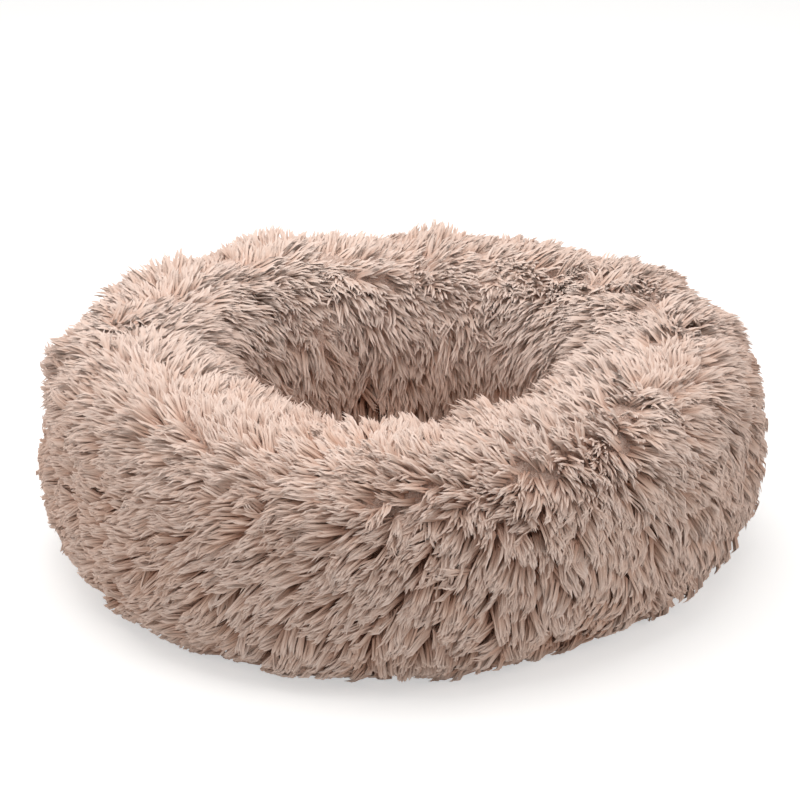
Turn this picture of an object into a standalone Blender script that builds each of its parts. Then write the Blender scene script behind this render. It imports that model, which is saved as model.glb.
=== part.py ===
"""Round plush pet bed: a stuffed ring round a sunken nest.

The zip-off cover is sewn from long-pile plush bands, a plush nest panel and a
woven base with a zip let into it. Inside are two stuffed inserts, a ring and a
round pad, each a bag of thin liner cloth round loose fibre.

Metres, +Z up. The origin is on the floor under the middle of the bed, and the
bed is looked at from -Y.
"""

import math

import bpy

MM = 0.001

# Driving dimensions of the bed, with the plush lying as it does in use
BED_DIAMETER = 610 * MM
BED_HEIGHT = 215 * MM
RING_WIDTH = 178 * MM
BELLY_HEIGHT = 85 * MM
PILE = 20 * MM
NEST_PILE = 15 * MM
PAD_CROWN = 10 * MM

# Cloths, and the gap left between pieces that touch
BASE_CLOTH = 1.2 * MM
LINER_CLOTH = 1.0 * MM
BINDING_CLOTH = 1.2 * MM
LABEL_CLOTH = 0.5 * MM
LABEL_WIDTH = 30 * MM
TOUCH_GAP = 0.4 * MM
STUFFING_SLIT_LENGTH = 120 * MM
STUFFING_SLIT_WIDTH = 3 * MM

# The ring's section is a superellipse: a power of 2 is an ellipse, a higher one is squarer
UPPER_POWER = 2.5
LOWER_POWER = 2.6

# Seams, as turns in degrees round the section: 0 is outermost, 90 the crest, 180 innermost
BASE_SEAM_TURN = -62.0
CREST_SEAM_TURN = 65.0
NEST_SEAM_TURN = 200.0
PAD_FOOT_TURN = 245.0
BINDING_TURN = 7.5
LABEL_TURN = 26.0
LABEL_ANGLE = 96.0

# The stuffing makes the outline a little uneven. Each value is a share of the radius
TWO_LOBE_SHARE = 0.015
THREE_LOBE_SHARE = 0.022
FOOT_TWIST_SHARE = 0.034
FOOT_REACH_SHARE = 0.9

# Gathers where the tube of plush is eased round the ring: depth, and places in degrees
GATHER_DEPTH = 8 * MM
GATHER_ANGLES = (-162, -114, -78, -54, -24, 6, 48, 90, 132, 162)
GATHER_SPREAD = 6.5
GATHER_TURN = 115.0
GATHER_TURN_REACH = 75.0

# The crest is pressed lower on one side, where the bed is stepped into
DIP_DEPTH = 28 * MM
DIP_ANGLE = -98.0
DIP_SHARPNESS = 3

# The pile clings together in broad soft tufts. They are crossing waves, each given as how
# many go round the bed, how many go round the section, and its start in degrees
TUFT_RISE = 4 * MM
TUFT_WAVES = ((12, 5.0, 30.0), (9, -4.5, 115.0), (15, 1.0, 230.0))
TUFT_SHARPNESS = 1.5
TUFT_FADE_TURN = 26.0

# Facets round the bed and along each stretch of the section
AROUND = 60
BAND_STEPS = 12
INSERT_STEPS = 12

# Zip: a moulded-tooth chain that runs along X, let into the base behind the middle
ZIP_LENGTH = 320 * MM
ZIP_OFFSET = 55 * MM
ZIP_HEIGHT = 6.2 * MM
CHAIN_GAP = 1.6 * MM
TEETH_WIDTH = 3.0 * MM
TEETH_HEIGHT = 2.2 * MM
TOOTH_PITCH = 4.0 * MM
TOOTH_SHARE = 0.55
BEAD_WIDTH = 1.1 * MM
TAPE_WIDTH = 12 * MM
TAPE_CLOTH = 0.6 * MM
STOP_LENGTH = 2.2 * MM
RUNNING_GAP = 0.3 * MM

# Facing: the turned-in cloth that sets the zip up into the base
FACING_CLOTH = 0.8 * MM
FACING_FLANGE = 10 * MM
WINDOW_WIDTH = 32 * MM
ZIP_SLOT_WIDTH = 16 * MM

# Slider and its pull
SLIDER_LENGTH = 12 * MM
SLIDER_WALL = 0.9 * MM
DIVIDER_LENGTH = 4.0 * MM
DIVIDER_THICKNESS = 1.0 * MM
BAIL_LENGTH = 8.0 * MM
BAIL_WIDTH = 2.0 * MM
BAIL_WALL = 1.3 * MM
BAIL_CROSSBAR = 0.8 * MM
BAIL_HOLE_HEIGHT = 2.0 * MM
PULL_LENGTH = 24 * MM
PULL_WIDTH = 7.0 * MM
PULL_THICKNESS = 1.0 * MM
PULL_ARM = 1.1 * MM
PULL_HOLE_LENGTH = 5.4 * MM
PULL_CORNER = 2.0 * MM
PULL_ROOM = 2.0 * MM

# How far every cutter runs past what it cuts
OVERRUN = 5 * MM

# Sizes that follow from the driving ones
RING_RADIUS = BED_DIAMETER / 2 - RING_WIDTH / 2
NEST_RADIUS = BED_DIAMETER / 2 - RING_WIDTH - TOUCH_GAP
CHAMBER_HALF_WIDTH = CHAIN_GAP / 2 + TEETH_WIDTH + RUNNING_GAP
CHAMBER_HALF_HEIGHT = TEETH_HEIGHT / 2 + RUNNING_GAP
SLIDER_HALF_WIDTH = CHAMBER_HALF_WIDTH + SLIDER_WALL
SLIDER_HALF_HEIGHT = CHAMBER_HALF_HEIGHT + SLIDER_WALL
TAPE_TAIL = PULL_LENGTH - SLIDER_LENGTH / 2 + PULL_ROOM
WINDOW_LENGTH = ZIP_LENGTH + 2 * TAPE_TAIL

# Layers of the section, each as its insets from the plush tips at the side, top and bottom
PLUSH_TIPS = (0.0, 0.0, 0.0)
PLUSH_BACK = (PILE, PILE, 0.0)
BASE_UNDERSIDE = (PILE + TOUCH_GAP, PILE + TOUCH_GAP, 0.0)
BASE_TOP = (BASE_UNDERSIDE[0] + BASE_CLOTH, BASE_UNDERSIDE[1] + BASE_CLOTH, BASE_CLOTH)
RING_LINER = tuple(value + TOUCH_GAP for value in (BASE_TOP[0], BASE_TOP[1], BASE_CLOTH))
PAD_SIDE = PLUSH_BACK


def inset(layer, depth):
    """The layer that lies this much deeper in the ring."""
    return tuple(value + depth for value in layer)


def ring_point(turn, layer):
    """Radius and height of a layer of the ring's section at a turn in degrees."""
    side, top, bottom = layer
    across, up = math.cos(math.radians(turn)), math.sin(math.radians(turn))
    power = UPPER_POWER if up > 0 else LOWER_POWER
    rise = BED_HEIGHT - BELLY_HEIGHT - top if up > 0 else BELLY_HEIGHT - bottom
    reach = (RING_WIDTH / 2 - side) * abs(across) ** (2 / power)
    lift = rise * abs(up) ** (2 / power)
    return (
        RING_RADIUS + math.copysign(reach, across),
        BELLY_HEIGHT + math.copysign(lift, up),
    )


def turn_across(length, turn, layer):
    """How many degrees of turn a short length takes along a layer of the section."""
    (r0, z0), (r1, z1) = ring_point(turn, layer), ring_point(turn + 1, layer)
    return length / math.hypot(r1 - r0, z1 - z0)


def steps(first, last, count):
    """count + 1 evenly spaced values from first to last."""
    return [first + (last - first) * i / count for i in range(count + 1)]


def gathered(radius, height, around):
    """Draws a point in towards the ring's core where the plush is gathered over the crest."""
    rise = BED_HEIGHT - BELLY_HEIGHT if height > BELLY_HEIGHT else BELLY_HEIGHT
    across = (radius - RING_RADIUS) / (RING_WIDTH / 2)
    up = (height - BELLY_HEIGHT) / rise
    size = math.hypot(across, up)
    if size == 0:
        return radius, height
    turn = math.degrees(math.atan2(up, across))
    off_crest = (turn - GATHER_TURN + 180) % 360 - 180
    weight = math.cos(math.pi / 2 * min(1, abs(off_crest) / GATHER_TURN_REACH)) ** 2
    off_gathers = [(around - a + 180) % 360 - 180 for a in GATHER_ANGLES]
    fold = sum(math.exp(-((off / GATHER_SPREAD) ** 2)) for off in off_gathers)
    pull = GATHER_DEPTH * weight * fold * min(1, size) / size
    return radius - pull * across, height - pull * up


def stretched(radius, height, around):
    """Stretches a radius by the uneven outline and the twisted foot."""
    a = math.radians(around)
    lobes = TWO_LOBE_SHARE * math.cos(2 * a) + THREE_LOBE_SHARE * (math.sin(3 * a) + math.sin(a))
    fade = max(0, 1 - height / (FOOT_REACH_SHARE * BED_HEIGHT))
    return radius * (1 + lobes) * (1 + FOOT_TWIST_SHARE * math.sin(2 * a) * fade)


def dipped(height, around):
    """Lowers a height above the belly where the crest is pressed down, in proportion to it."""
    bell = ((1 + math.cos(math.radians(around - DIP_ANGLE))) / 2) ** DIP_SHARPNESS
    lowered = 1 - bell * DIP_DEPTH / (BED_HEIGHT - BELLY_HEIGHT)
    return height if height < BELLY_HEIGHT else BELLY_HEIGHT + (height - BELLY_HEIGHT) * lowered


def tufted(turn, around):
    """How far the tips stand out on a tuft, or lie in between two, here. The tufts fade out
    above the label and at the nest seam, where the pile is caught."""
    room = min(turn - BASE_SEAM_TURN - LABEL_TURN, NEST_SEAM_TURN - turn)
    fade = min(1, max(0, room / TUFT_FADE_TURN))
    waves = [
        math.sin(math.radians(round_bed * around + round_section * turn + start))
        for round_bed, round_section, start in TUFT_WAVES
    ]
    swell = TUFT_SHARPNESS * sum(waves) / len(waves)
    return TUFT_RISE * fade * min(1, max(-1, swell))


def outline_centre():
    """Middle of the uneven outline, so that the bed can be centred on its origin."""
    xs, ys = [], []
    for around in steps(0, 360, AROUND):
        radius = stretched(BED_DIAMETER / 2, BELLY_HEIGHT, around)
        xs.append(radius * math.cos(math.radians(around)))
        ys.append(radius * math.sin(math.radians(around)))
    return (max(xs) + min(xs)) / 2, (max(ys) + min(ys)) / 2


CENTRE_X, CENTRE_Y = outline_centre()


def shaped(radius, height, around):
    """Where a point of the plain round bed lies in the soft, uneven one."""
    radius, height = gathered(radius, height, around)
    radius = stretched(radius, height, around)
    height = dipped(height, around)
    a = math.radians(around)
    return radius * math.cos(a) - CENTRE_X, radius * math.sin(a) - CENTRE_Y, height


def clear_scene():
    for obj in list(bpy.data.objects):
        bpy.data.objects.remove(obj)


def finish(obj, hex_colour, roughness, metallic=0.0):
    """Gives an object its own Principled material, from an sRGB colour."""
    channels = [int(hex_colour[i : i + 2], 16) / 255 for i in (0, 2, 4)]
    linear = [c / 12.92 if c <= 0.04045 else ((c + 0.055) / 1.055) ** 2.4 for c in channels]
    material = bpy.data.materials.new(obj.name + "_finish")
    material.use_nodes = True
    shader = material.node_tree.nodes["Principled BSDF"]
    shader.inputs["Base Color"].default_value = (*linear, 1.0)
    shader.inputs["Roughness"].default_value = roughness
    shader.inputs["Metallic"].default_value = metallic
    obj.data.materials.append(material)
    return obj


def empty(name, location, parent=None):
    obj = bpy.data.objects.new(name, None)
    bpy.context.scene.collection.objects.link(obj)
    obj.location = location
    obj.parent = parent
    return obj


def mesh_object(name, points, faces, parent):
    mesh = bpy.data.meshes.new(name)
    mesh.from_pydata(points, [], faces)
    mesh.validate()
    obj = bpy.data.objects.new(name, mesh)
    bpy.context.scene.collection.objects.link(obj)
    obj.parent = parent
    return obj


def bridge(first, second):
    """Triangles from one closed loop of point numbers to the next, or to a pole. Every body
    is split along the same diagonals, so that the faces of nested bodies stay parallel."""
    faces = []
    count = max(len(first), len(second))
    for i in range(count):
        j = (i + 1) % count
        if len(first) > 1:
            faces.append((first[i], first[j], second[j % len(second)]))
        if len(second) > 1:
            faces.append((first[i % len(first)], second[j], second[i]))
    return faces


def numbered(loops):
    """All the loops' points in one list, and each loop as point numbers."""
    points, numbers = [], []
    for loop in loops:
        numbers.append(list(range(len(points), len(points) + len(loop))))
        points += loop
    return points, numbers


def turned(name, profile, parent):
    """A body turned round the bed's middle, then shaped: the profile runs from its bottom
    pole out and up to its top pole."""
    loops = []
    for radius, height in profile:
        angles = steps(0, 360, AROUND)[:-1] if radius else [0]
        loops.append([shaped(radius, height, around) for around in angles])
    points, numbers = numbered(loops)
    faces = [face for a, b in zip(numbers, numbers[1:]) for face in bridge(a, b)]
    return mesh_object(name, points, faces, parent)


def swept(name, sections, angles, parent, closed=False):
    """Closed sections of (radius, height) points, in order outwards and up, one at each of
    these angles round the bed, shaped and joined. An open sweep gets flat end caps."""
    loops = [
        [shaped(r, z, around) for r, z in section] for section, around in zip(sections, angles)
    ]
    points, numbers = numbered(loops)
    pairs = list(zip(numbers, numbers[1:]))
    if closed:
        pairs.append((numbers[-1], numbers[0]))
    faces = [face for a, b in pairs for face in bridge(b, a)]
    if not closed:
        faces += [tuple(numbers[0]), tuple(numbers[-1][::-1])]
    return mesh_object(name, points, faces, parent)


def full_turn():
    return steps(0, 360, AROUND)[:-1]


def half_turn(first):
    """Angles of half the bed, short of both side seams by half a touching gap."""
    gap = math.degrees(TOUCH_GAP / 2 / NEST_RADIUS)
    angles = steps(first, first + 180, AROUND // 2)
    return [first + gap, *angles[1:-1], first + 180 - gap]


def band_section(outer, inner, first, last, count):
    """The section between two layers of the ring, from one turn to another."""
    turns = steps(first, last, count)
    return [ring_point(t, outer) for t in turns] + [ring_point(t, inner) for t in turns[::-1]]


def plush_section(first, last, around):
    """The section of a plush band at one angle: its tufted tips, and back along its cloth."""
    turns = steps(first, last, BAND_STEPS)
    tips = [ring_point(t, inset(PLUSH_TIPS, -tufted(t, around))) for t in turns]
    return tips + [ring_point(t, PLUSH_BACK) for t in turns[::-1]]


def box(name, low, high, parent):
    """A box between two corners, each given in the parent's frame."""
    x0, y0, z0 = low
    x1, y1, z1 = high
    points = [
        (x0, y0, z0),
        (x1, y0, z0),
        (x1, y1, z0),
        (x0, y1, z0),
        (x0, y0, z1),
        (x1, y0, z1),
        (x1, y1, z1),
        (x0, y1, z1),
    ]
    faces = [
        (0, 3, 2, 1),
        (4, 5, 6, 7),
        (0, 1, 5, 4),
        (1, 2, 6, 5),
        (2, 3, 7, 6),
        (3, 0, 4, 7),
    ]
    return mesh_object(name, points, faces, parent)


def combine(obj, tool, operation):
    """Joins a tool to an object, or cuts it away, and keeps the tool out of the render."""
    tool.hide_render = True
    tool.display_type = "WIRE"
    modifier = obj.modifiers.new(operation.lower() + "_" + tool.name, "BOOLEAN")
    modifier.operation = operation
    modifier.object = tool
    modifier.solver = "EXACT"


def cut(obj, tool):
    combine(obj, tool, "DIFFERENCE")


def join(obj, tool):
    combine(obj, tool, "UNION")


def extruded(name, outline, low, high, parent):
    """An outline of (x, y) points, counter-clockwise, given thickness from low to high."""
    points = [(x, y, low) for x, y in outline] + [(x, y, high) for x, y in outline]
    count = len(outline)
    lower, upper = list(range(count)), list(range(count, 2 * count))
    faces = [tuple(lower[::-1]), tuple(upper), *bridge(lower, upper)]
    return mesh_object(name, points, faces, parent)


def soften(obj):
    """Shades a soft piece smooth across its facets but keeps its seam edges."""
    obj.data.shade_smooth()
    obj.data.set_sharp_from_angle(angle=math.radians(50))
    return obj


def plush_bands(bed):
    """The two outer bands, from the base seam up to the crest, and the two inner ones,
    from the crest over and down to the nest."""
    gap = turn_across(TOUCH_GAP, CREST_SEAM_TURN, PLUSH_BACK)
    bands = (
        ("outer", BASE_SEAM_TURN, CREST_SEAM_TURN),
        ("inner", CREST_SEAM_TURN + gap, NEST_SEAM_TURN),
    )
    for half, start in (("front", -180), ("back", 0)):
        angles = half_turn(start)
        for band, first, last in bands:
            sections = [plush_section(first, last, around) for around in angles]
            plush = swept(f"{band}_plush_{half}", sections, angles, bed)
            finish(soften(plush), "C4A999", 0.95)


def nest_back(radius):
    """Height of the nest panel's backing, crowned over the pad."""
    edge = ring_point(NEST_SEAM_TURN, PLUSH_BACK)[1]
    return edge + PAD_CROWN * (1 - (radius / NEST_RADIUS) ** 2)


def nest_panel(bed):
    """The round plush panel that is lain on, so that its pile is shorter than the ring's."""
    radii = steps(0, NEST_RADIUS, 4)
    under = [(r, nest_back(r)) for r in radii]
    over = [(r, nest_back(r) + NEST_PILE) for r in radii[::-1]]
    finish(soften(turned("nest_plush", under + over, bed)), "C9AF9F", 0.95)


def base_panel(bed, zip_line):
    """The woven base: flat on the floor, turned up under the ring to meet the plush,
    with a window for the zip."""
    end = BASE_SEAM_TURN - turn_across(TOUCH_GAP, BASE_SEAM_TURN, BASE_UNDERSIDE)
    turns = steps(-90, end, 4)
    under = [(0, 0.0), (RING_RADIUS / 2, 0.0)] + [ring_point(t, BASE_UNDERSIDE) for t in turns]
    over = [ring_point(t, BASE_TOP) for t in turns[::-1]]
    over += [(RING_RADIUS / 2, BASE_CLOTH), (0, BASE_CLOTH)]
    base = turned("base_panel", under + over, bed)
    window = box(
        "window_cutter",
        (-WINDOW_LENGTH / 2, -WINDOW_WIDTH / 2, -ZIP_HEIGHT - OVERRUN),
        (WINDOW_LENGTH / 2, WINDOW_WIDTH / 2, OVERRUN),
        zip_line,
    )
    cut(base, window)
    finish(base, "4B4643", 0.8)


def base_binding(bed):
    """The bias binding that covers the base panel's raw edge, just inside the plush."""
    last = BASE_SEAM_TURN - turn_across(TOUCH_GAP, BASE_SEAM_TURN, BASE_UNDERSIDE)
    outer = inset(BASE_UNDERSIDE, -TOUCH_GAP - BINDING_CLOTH)
    inner = inset(BASE_UNDERSIDE, -TOUCH_GAP)
    sections = [band_section(outer, inner, last - BINDING_TURN, last, 2)] * AROUND
    finish(soften(swept("base_binding", sections, full_turn(), bed, closed=True)), "3C3836", 0.8)


def care_label(bed):
    """A blank satin label, caught in the base seam at the back."""
    turns = steps(BASE_SEAM_TURN, BASE_SEAM_TURN + LABEL_TURN, 3)
    outer = inset(PLUSH_TIPS, -TOUCH_GAP - LABEL_CLOTH)
    inner = inset(PLUSH_TIPS, -TOUCH_GAP)
    section = [ring_point(t, outer) for t in turns] + [ring_point(t, inner) for t in turns[::-1]]
    half_angle = math.degrees(LABEL_WIDTH / BED_DIAMETER)
    angles = steps(LABEL_ANGLE - half_angle, LABEL_ANGLE + half_angle, 2)
    finish(soften(swept("care_label", [section] * len(angles), angles, bed)), "EDEAE4", 0.5)


def clear_zip(insert, depth, zip_line):
    """Cuts a groove in an insert's underside, this much wider than its zip needs."""
    margin = RUNNING_GAP + depth
    half_length = WINDOW_LENGTH / 2 + FACING_FLANGE + margin
    half_width = WINDOW_WIDTH / 2 + FACING_FLANGE + margin
    groove = box(
        insert.name + "_groove",
        (-half_length, -half_width, -ZIP_HEIGHT - OVERRUN),
        (half_length, half_width, SLIDER_HALF_HEIGHT + margin),
        zip_line,
    )
    cut(insert, groove)
    return insert


def ring_body(name, depth, bed, zip_line):
    """The stuffed ring, this much inside its outer face."""
    layer = inset(RING_LINER, depth)
    section = [ring_point(t, layer) for t in steps(0, 360, INSERT_STEPS)[:-1]]
    body = swept(name, [section] * AROUND, full_turn(), bed, closed=True)
    return clear_zip(body, depth, zip_line)


def slit_cutter(name, radius, height, depth, bed):
    """A flat box that opens one wall of a liner at the back, where it was stuffed."""
    reach = stretched(radius, height, 90) - CENTRE_Y
    return box(
        name,
        (-STUFFING_SLIT_LENGTH / 2, reach - depth, height - STUFFING_SLIT_WIDTH / 2),
        (STUFFING_SLIT_LENGTH / 2, reach + depth, height + STUFFING_SLIT_WIDTH / 2),
        bed,
    )


def ring_insert(bed, zip_line):
    """The stuffed ring: a tube of liner cloth, open at its stuffing slit, round its fibre."""
    liner = ring_body("ring_liner", 0.0, bed, zip_line)
    cut(liner, ring_body("ring_liner_hollow", LINER_CLOTH, bed, zip_line))
    radius, height = ring_point(0, RING_LINER)
    sag = radius - math.sqrt(radius**2 - (STUFFING_SLIT_LENGTH / 2) ** 2)
    cut(liner, slit_cutter("ring_slit_cutter", radius, height, sag + OVERRUN, bed))
    finish(soften(liner), "E6E3DD", 0.9)
    fibre = ring_body("ring_fibre", LINER_CLOTH + TOUCH_GAP, bed, zip_line)
    finish(soften(fibre), "F4F3F0", 1.0)


def pad_profile(depth):
    """Half section of the pad, this much inside its outer face. Its side follows the
    ring that presses on it, and its top the nest panel."""
    side = inset(PAD_SIDE, -depth)
    floor = BASE_CLOTH + TOUCH_GAP + depth
    first = NEST_SEAM_TURN + turn_across(TOUCH_GAP + depth, NEST_SEAM_TURN, PLUSH_BACK)
    rim = [ring_point(t, side) for t in steps(PAD_FOOT_TURN, first, 3)]
    foot = rim[0][0]
    under = [(0, floor), (foot, floor)]
    crown = [(r, nest_back(r) - TOUCH_GAP - depth) for r in steps(NEST_RADIUS, 0, 3)]
    return under + rim + crown


def pad_body(name, depth, bed, zip_line):
    """The stuffed pad, this much inside its outer face."""
    return clear_zip(turned(name, pad_profile(depth), bed), depth, zip_line)


def pad_insert(bed, zip_line):
    """The stuffed pad under the nest: a liner bag, open at its stuffing slit, and fibre."""
    liner = pad_body("pad_liner", 0.0, bed, zip_line)
    hollow = pad_body("pad_liner_hollow", LINER_CLOTH, bed, zip_line)
    cut(liner, hollow)
    radius, height = ring_point((NEST_SEAM_TURN + PAD_FOOT_TURN) / 2, PAD_SIDE)
    sag = radius - math.sqrt(radius**2 - (STUFFING_SLIT_LENGTH / 2) ** 2)
    cut(liner, slit_cutter("pad_slit_cutter", radius, height, sag + OVERRUN, bed))
    finish(liner, "E6E3DD", 0.9)
    fibre = pad_body("pad_fibre", LINER_CLOTH + TOUCH_GAP, bed, zip_line)
    finish(fibre, "F4F3F0", 1.0)


def zip_facing(zip_line):
    """The turned-in facing: a flange on the base cloth, a wall up and a lip with a slot,
    on which the tapes are sewn."""
    floor = -ZIP_HEIGHT + BASE_CLOTH + TOUCH_GAP
    lip = -TAPE_CLOTH / 2 - RUNNING_GAP
    half_length, half_width = WINDOW_LENGTH / 2, WINDOW_WIDTH / 2
    reach_x, reach_y = half_length + FACING_FLANGE, half_width + FACING_FLANGE
    facing = box(
        "zip_facing",
        (-reach_x, -reach_y, floor),
        (reach_x, reach_y, floor + FACING_CLOTH),
        zip_line,
    )
    tray = box(
        "facing_tray",
        (-half_length - FACING_CLOTH, -half_width - FACING_CLOTH, floor),
        (half_length + FACING_CLOTH, half_width + FACING_CLOTH, lip),
        zip_line,
    )
    pocket = box(
        "facing_pocket_cutter",
        (-half_length, -half_width, floor - OVERRUN),
        (half_length, half_width, lip - FACING_CLOTH),
        zip_line,
    )
    slot = box(
        "facing_slot_cutter",
        (-ZIP_LENGTH / 2 - SLIDER_LENGTH / 2, -ZIP_SLOT_WIDTH / 2, floor - OVERRUN),
        (ZIP_LENGTH / 2 + SLIDER_LENGTH / 2, ZIP_SLOT_WIDTH / 2, lip + OVERRUN),
        zip_line,
    )
    join(facing, tray)
    cut(facing, pocket)
    cut(facing, slot)
    finish(facing, "413D3A", 0.8)


def zip_tapes(zip_line):
    """The two woven tapes, from the teeth out over the facing's lip."""
    for side, sign in (("front", -1), ("rear", 1)):
        edges = sorted((sign * CHAMBER_HALF_WIDTH, sign * (CHAMBER_HALF_WIDTH + TAPE_WIDTH)))
        tape = box(
            "zip_tape_" + side,
            (-WINDOW_LENGTH / 2, edges[0], -TAPE_CLOTH / 2),
            (WINDOW_LENGTH / 2, edges[1], TAPE_CLOTH / 2),
            zip_line,
        )
        finish(tape, "2F2C2B", 0.85)


def zip_teeth(zip_line):
    """The two rows of teeth, each a comb on its bead. The rows are half a pitch apart."""
    count = int(ZIP_LENGTH / TOOTH_PITCH) - 1
    outer, inner = CHAIN_GAP / 2 + TEETH_WIDTH, CHAIN_GAP / 2
    for side, sign, shift in (("front", -1, 0.0), ("rear", 1, TOOTH_PITCH / 2)):
        bead = outer - BEAD_WIDTH
        outline = [(ZIP_LENGTH / 2, outer), (-ZIP_LENGTH / 2, outer), (-ZIP_LENGTH / 2, bead)]
        for i in range(count):
            start = -ZIP_LENGTH / 2 + TOOTH_PITCH * (1 - TOOTH_SHARE) / 2 + i * TOOTH_PITCH + shift
            end = start + TOOTH_PITCH * TOOTH_SHARE
            outline += [(start, bead), (start, inner), (end, inner), (end, bead)]
        outline.append((ZIP_LENGTH / 2, bead))
        if sign < 0:
            outline = [(x, -y) for x, y in outline[::-1]]
        teeth = extruded(
            "zip_teeth_" + side, outline, -TEETH_HEIGHT / 2, TEETH_HEIGHT / 2, zip_line
        )
        finish(teeth, "33302E", 0.4)


def zip_stops(zip_line):
    """Two top stops at the closed end and one bottom stop that ties both rows."""
    start = ZIP_LENGTH / 2 + RUNNING_GAP
    inner, outer = CHAIN_GAP / 2, CHAIN_GAP / 2 + TEETH_WIDTH
    spans = (
        ("zip_top_stop_front", start, start + STOP_LENGTH, -outer, -inner),
        ("zip_top_stop_rear", start, start + STOP_LENGTH, inner, outer),
        ("zip_bottom_stop", -start - STOP_LENGTH, -start, -outer, outer),
    )
    for name, x0, x1, y0, y1 in spans:
        stop = box(name, (x0, y0, -TEETH_HEIGHT / 2), (x1, y1, TEETH_HEIGHT / 2), zip_line)
        finish(stop, "8C8A88", 0.35, 1.0)


def zip_slider(slider_axis):
    """The slider: a chamber round both rows, slots for the tapes, a divider at the nose
    and a bail underneath for the pull."""
    half = SLIDER_LENGTH / 2
    slider = box(
        "zip_slider",
        (-half, -SLIDER_HALF_WIDTH, -SLIDER_HALF_HEIGHT),
        (half, SLIDER_HALF_WIDTH, SLIDER_HALF_HEIGHT),
        slider_axis,
    )
    bail_floor = -SLIDER_HALF_HEIGHT - BAIL_HOLE_HEIGHT - BAIL_CROSSBAR
    bail = box(
        "slider_bail",
        (-BAIL_LENGTH / 2, -BAIL_WIDTH / 2, bail_floor),
        (BAIL_LENGTH / 2, BAIL_WIDTH / 2, -SLIDER_HALF_HEIGHT + SLIDER_WALL / 2),
        slider_axis,
    )
    join(slider, bail)
    bail_hole = box(
        "bail_hole_cutter",
        (-BAIL_LENGTH / 2 + BAIL_WALL, -SLIDER_HALF_WIDTH, bail_floor + BAIL_CROSSBAR),
        (BAIL_LENGTH / 2 - BAIL_WALL, SLIDER_HALF_WIDTH, -SLIDER_HALF_HEIGHT),
        slider_axis,
    )
    cut(slider, bail_hole)
    for side, sign in (("front", -1), ("rear", 1)):
        chamber_edges = sorted((sign * DIVIDER_THICKNESS / 2, sign * CHAMBER_HALF_WIDTH))
        chamber = box(
            "chamber_cutter_" + side,
            (-half - OVERRUN, chamber_edges[0], -CHAMBER_HALF_HEIGHT),
            (half + OVERRUN, chamber_edges[1], CHAMBER_HALF_HEIGHT),
            slider_axis,
        )
        cut(slider, chamber)
        slot_edges = sorted((sign * CHAMBER_HALF_WIDTH / 2, sign * (SLIDER_HALF_WIDTH + OVERRUN)))
        slot_half = TAPE_CLOTH / 2 + RUNNING_GAP
        slot = box(
            "tape_slot_cutter_" + side,
            (-half - OVERRUN, slot_edges[0], -slot_half),
            (half + OVERRUN, slot_edges[1], slot_half),
            slider_axis,
        )
        cut(slider, slot)
    behind_divider = box(
        "divider_end_cutter",
        (-half - OVERRUN, -CHAMBER_HALF_WIDTH / 2, -CHAMBER_HALF_HEIGHT),
        (half - DIVIDER_LENGTH, CHAMBER_HALF_WIDTH / 2, CHAMBER_HALF_HEIGHT),
        slider_axis,
    )
    cut(slider, behind_divider)
    finish(slider, "6F6C69", 0.35, 1.0)


def rounded_tongue(length, half_width, corner, start):
    """Counter-clockwise outline that runs from start along -X, its far corners rounded."""
    outline = [(start, -half_width), (start, half_width)]
    for centre_y, first in ((half_width - corner, 90), (corner - half_width, 180)):
        for angle in steps(first, first + 90, 4):
            a = math.radians(angle)
            x = -length + corner + corner * math.cos(a)
            outline.append((x, centre_y + corner * math.sin(a)))
    return outline


def zip_pull(pull_axis):
    """The pull: a flat tongue whose eye goes round the slider's bail. Its hinge line is
    the bar at the end of the eye."""
    half = PULL_THICKNESS / 2
    bar = PULL_THICKNESS / 2
    eye_half_width = PULL_WIDTH / 2 - PULL_ARM
    pull = extruded(
        "zip_pull",
        rounded_tongue(PULL_LENGTH, PULL_WIDTH / 2, PULL_CORNER, bar),
        -half,
        half,
        pull_axis,
    )
    eye = box(
        "pull_eye_cutter",
        (-bar - PULL_HOLE_LENGTH, -eye_half_width, -half - OVERRUN),
        (-bar, eye_half_width, half + OVERRUN),
        pull_axis,
    )
    cut(pull, eye)
    finish(pull, "6F6C69", 0.35, 1.0)


def build():
    clear_scene()
    bed = empty("bed", (0, 0, 0))
    zip_line = empty("zip_line", (0, ZIP_OFFSET, ZIP_HEIGHT), bed)
    slider_axis = empty("slider_axis", (ZIP_LENGTH / 2 - SLIDER_LENGTH / 2, 0, 0), zip_line)
    pull_axis = empty("pull_axis", (0, 0, -SLIDER_HALF_HEIGHT - BAIL_HOLE_HEIGHT / 2), slider_axis)
    plush_bands(bed)
    nest_panel(bed)
    base_panel(bed, zip_line)
    base_binding(bed)
    care_label(bed)
    ring_insert(bed, zip_line)
    pad_insert(bed, zip_line)
    zip_facing(zip_line)
    zip_tapes(zip_line)
    zip_teeth(zip_line)
    zip_stops(zip_line)
    zip_slider(slider_axis)
    zip_pull(pull_axis)


build()
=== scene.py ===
# %% [markdown]
# # A plush donut bed
#
# A donut bed is a stuffed ring round a sunken nest, in a cover of long-pile plush that zips off
# for washing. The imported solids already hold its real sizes, its zip and its inserts. This file
# dresses them: it grows the pile, weaves the base cloth, blows up the inserts, and finishes the
# zip and the label. Everything is in metres, in the same frame as the solids.

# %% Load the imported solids
import math

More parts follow.
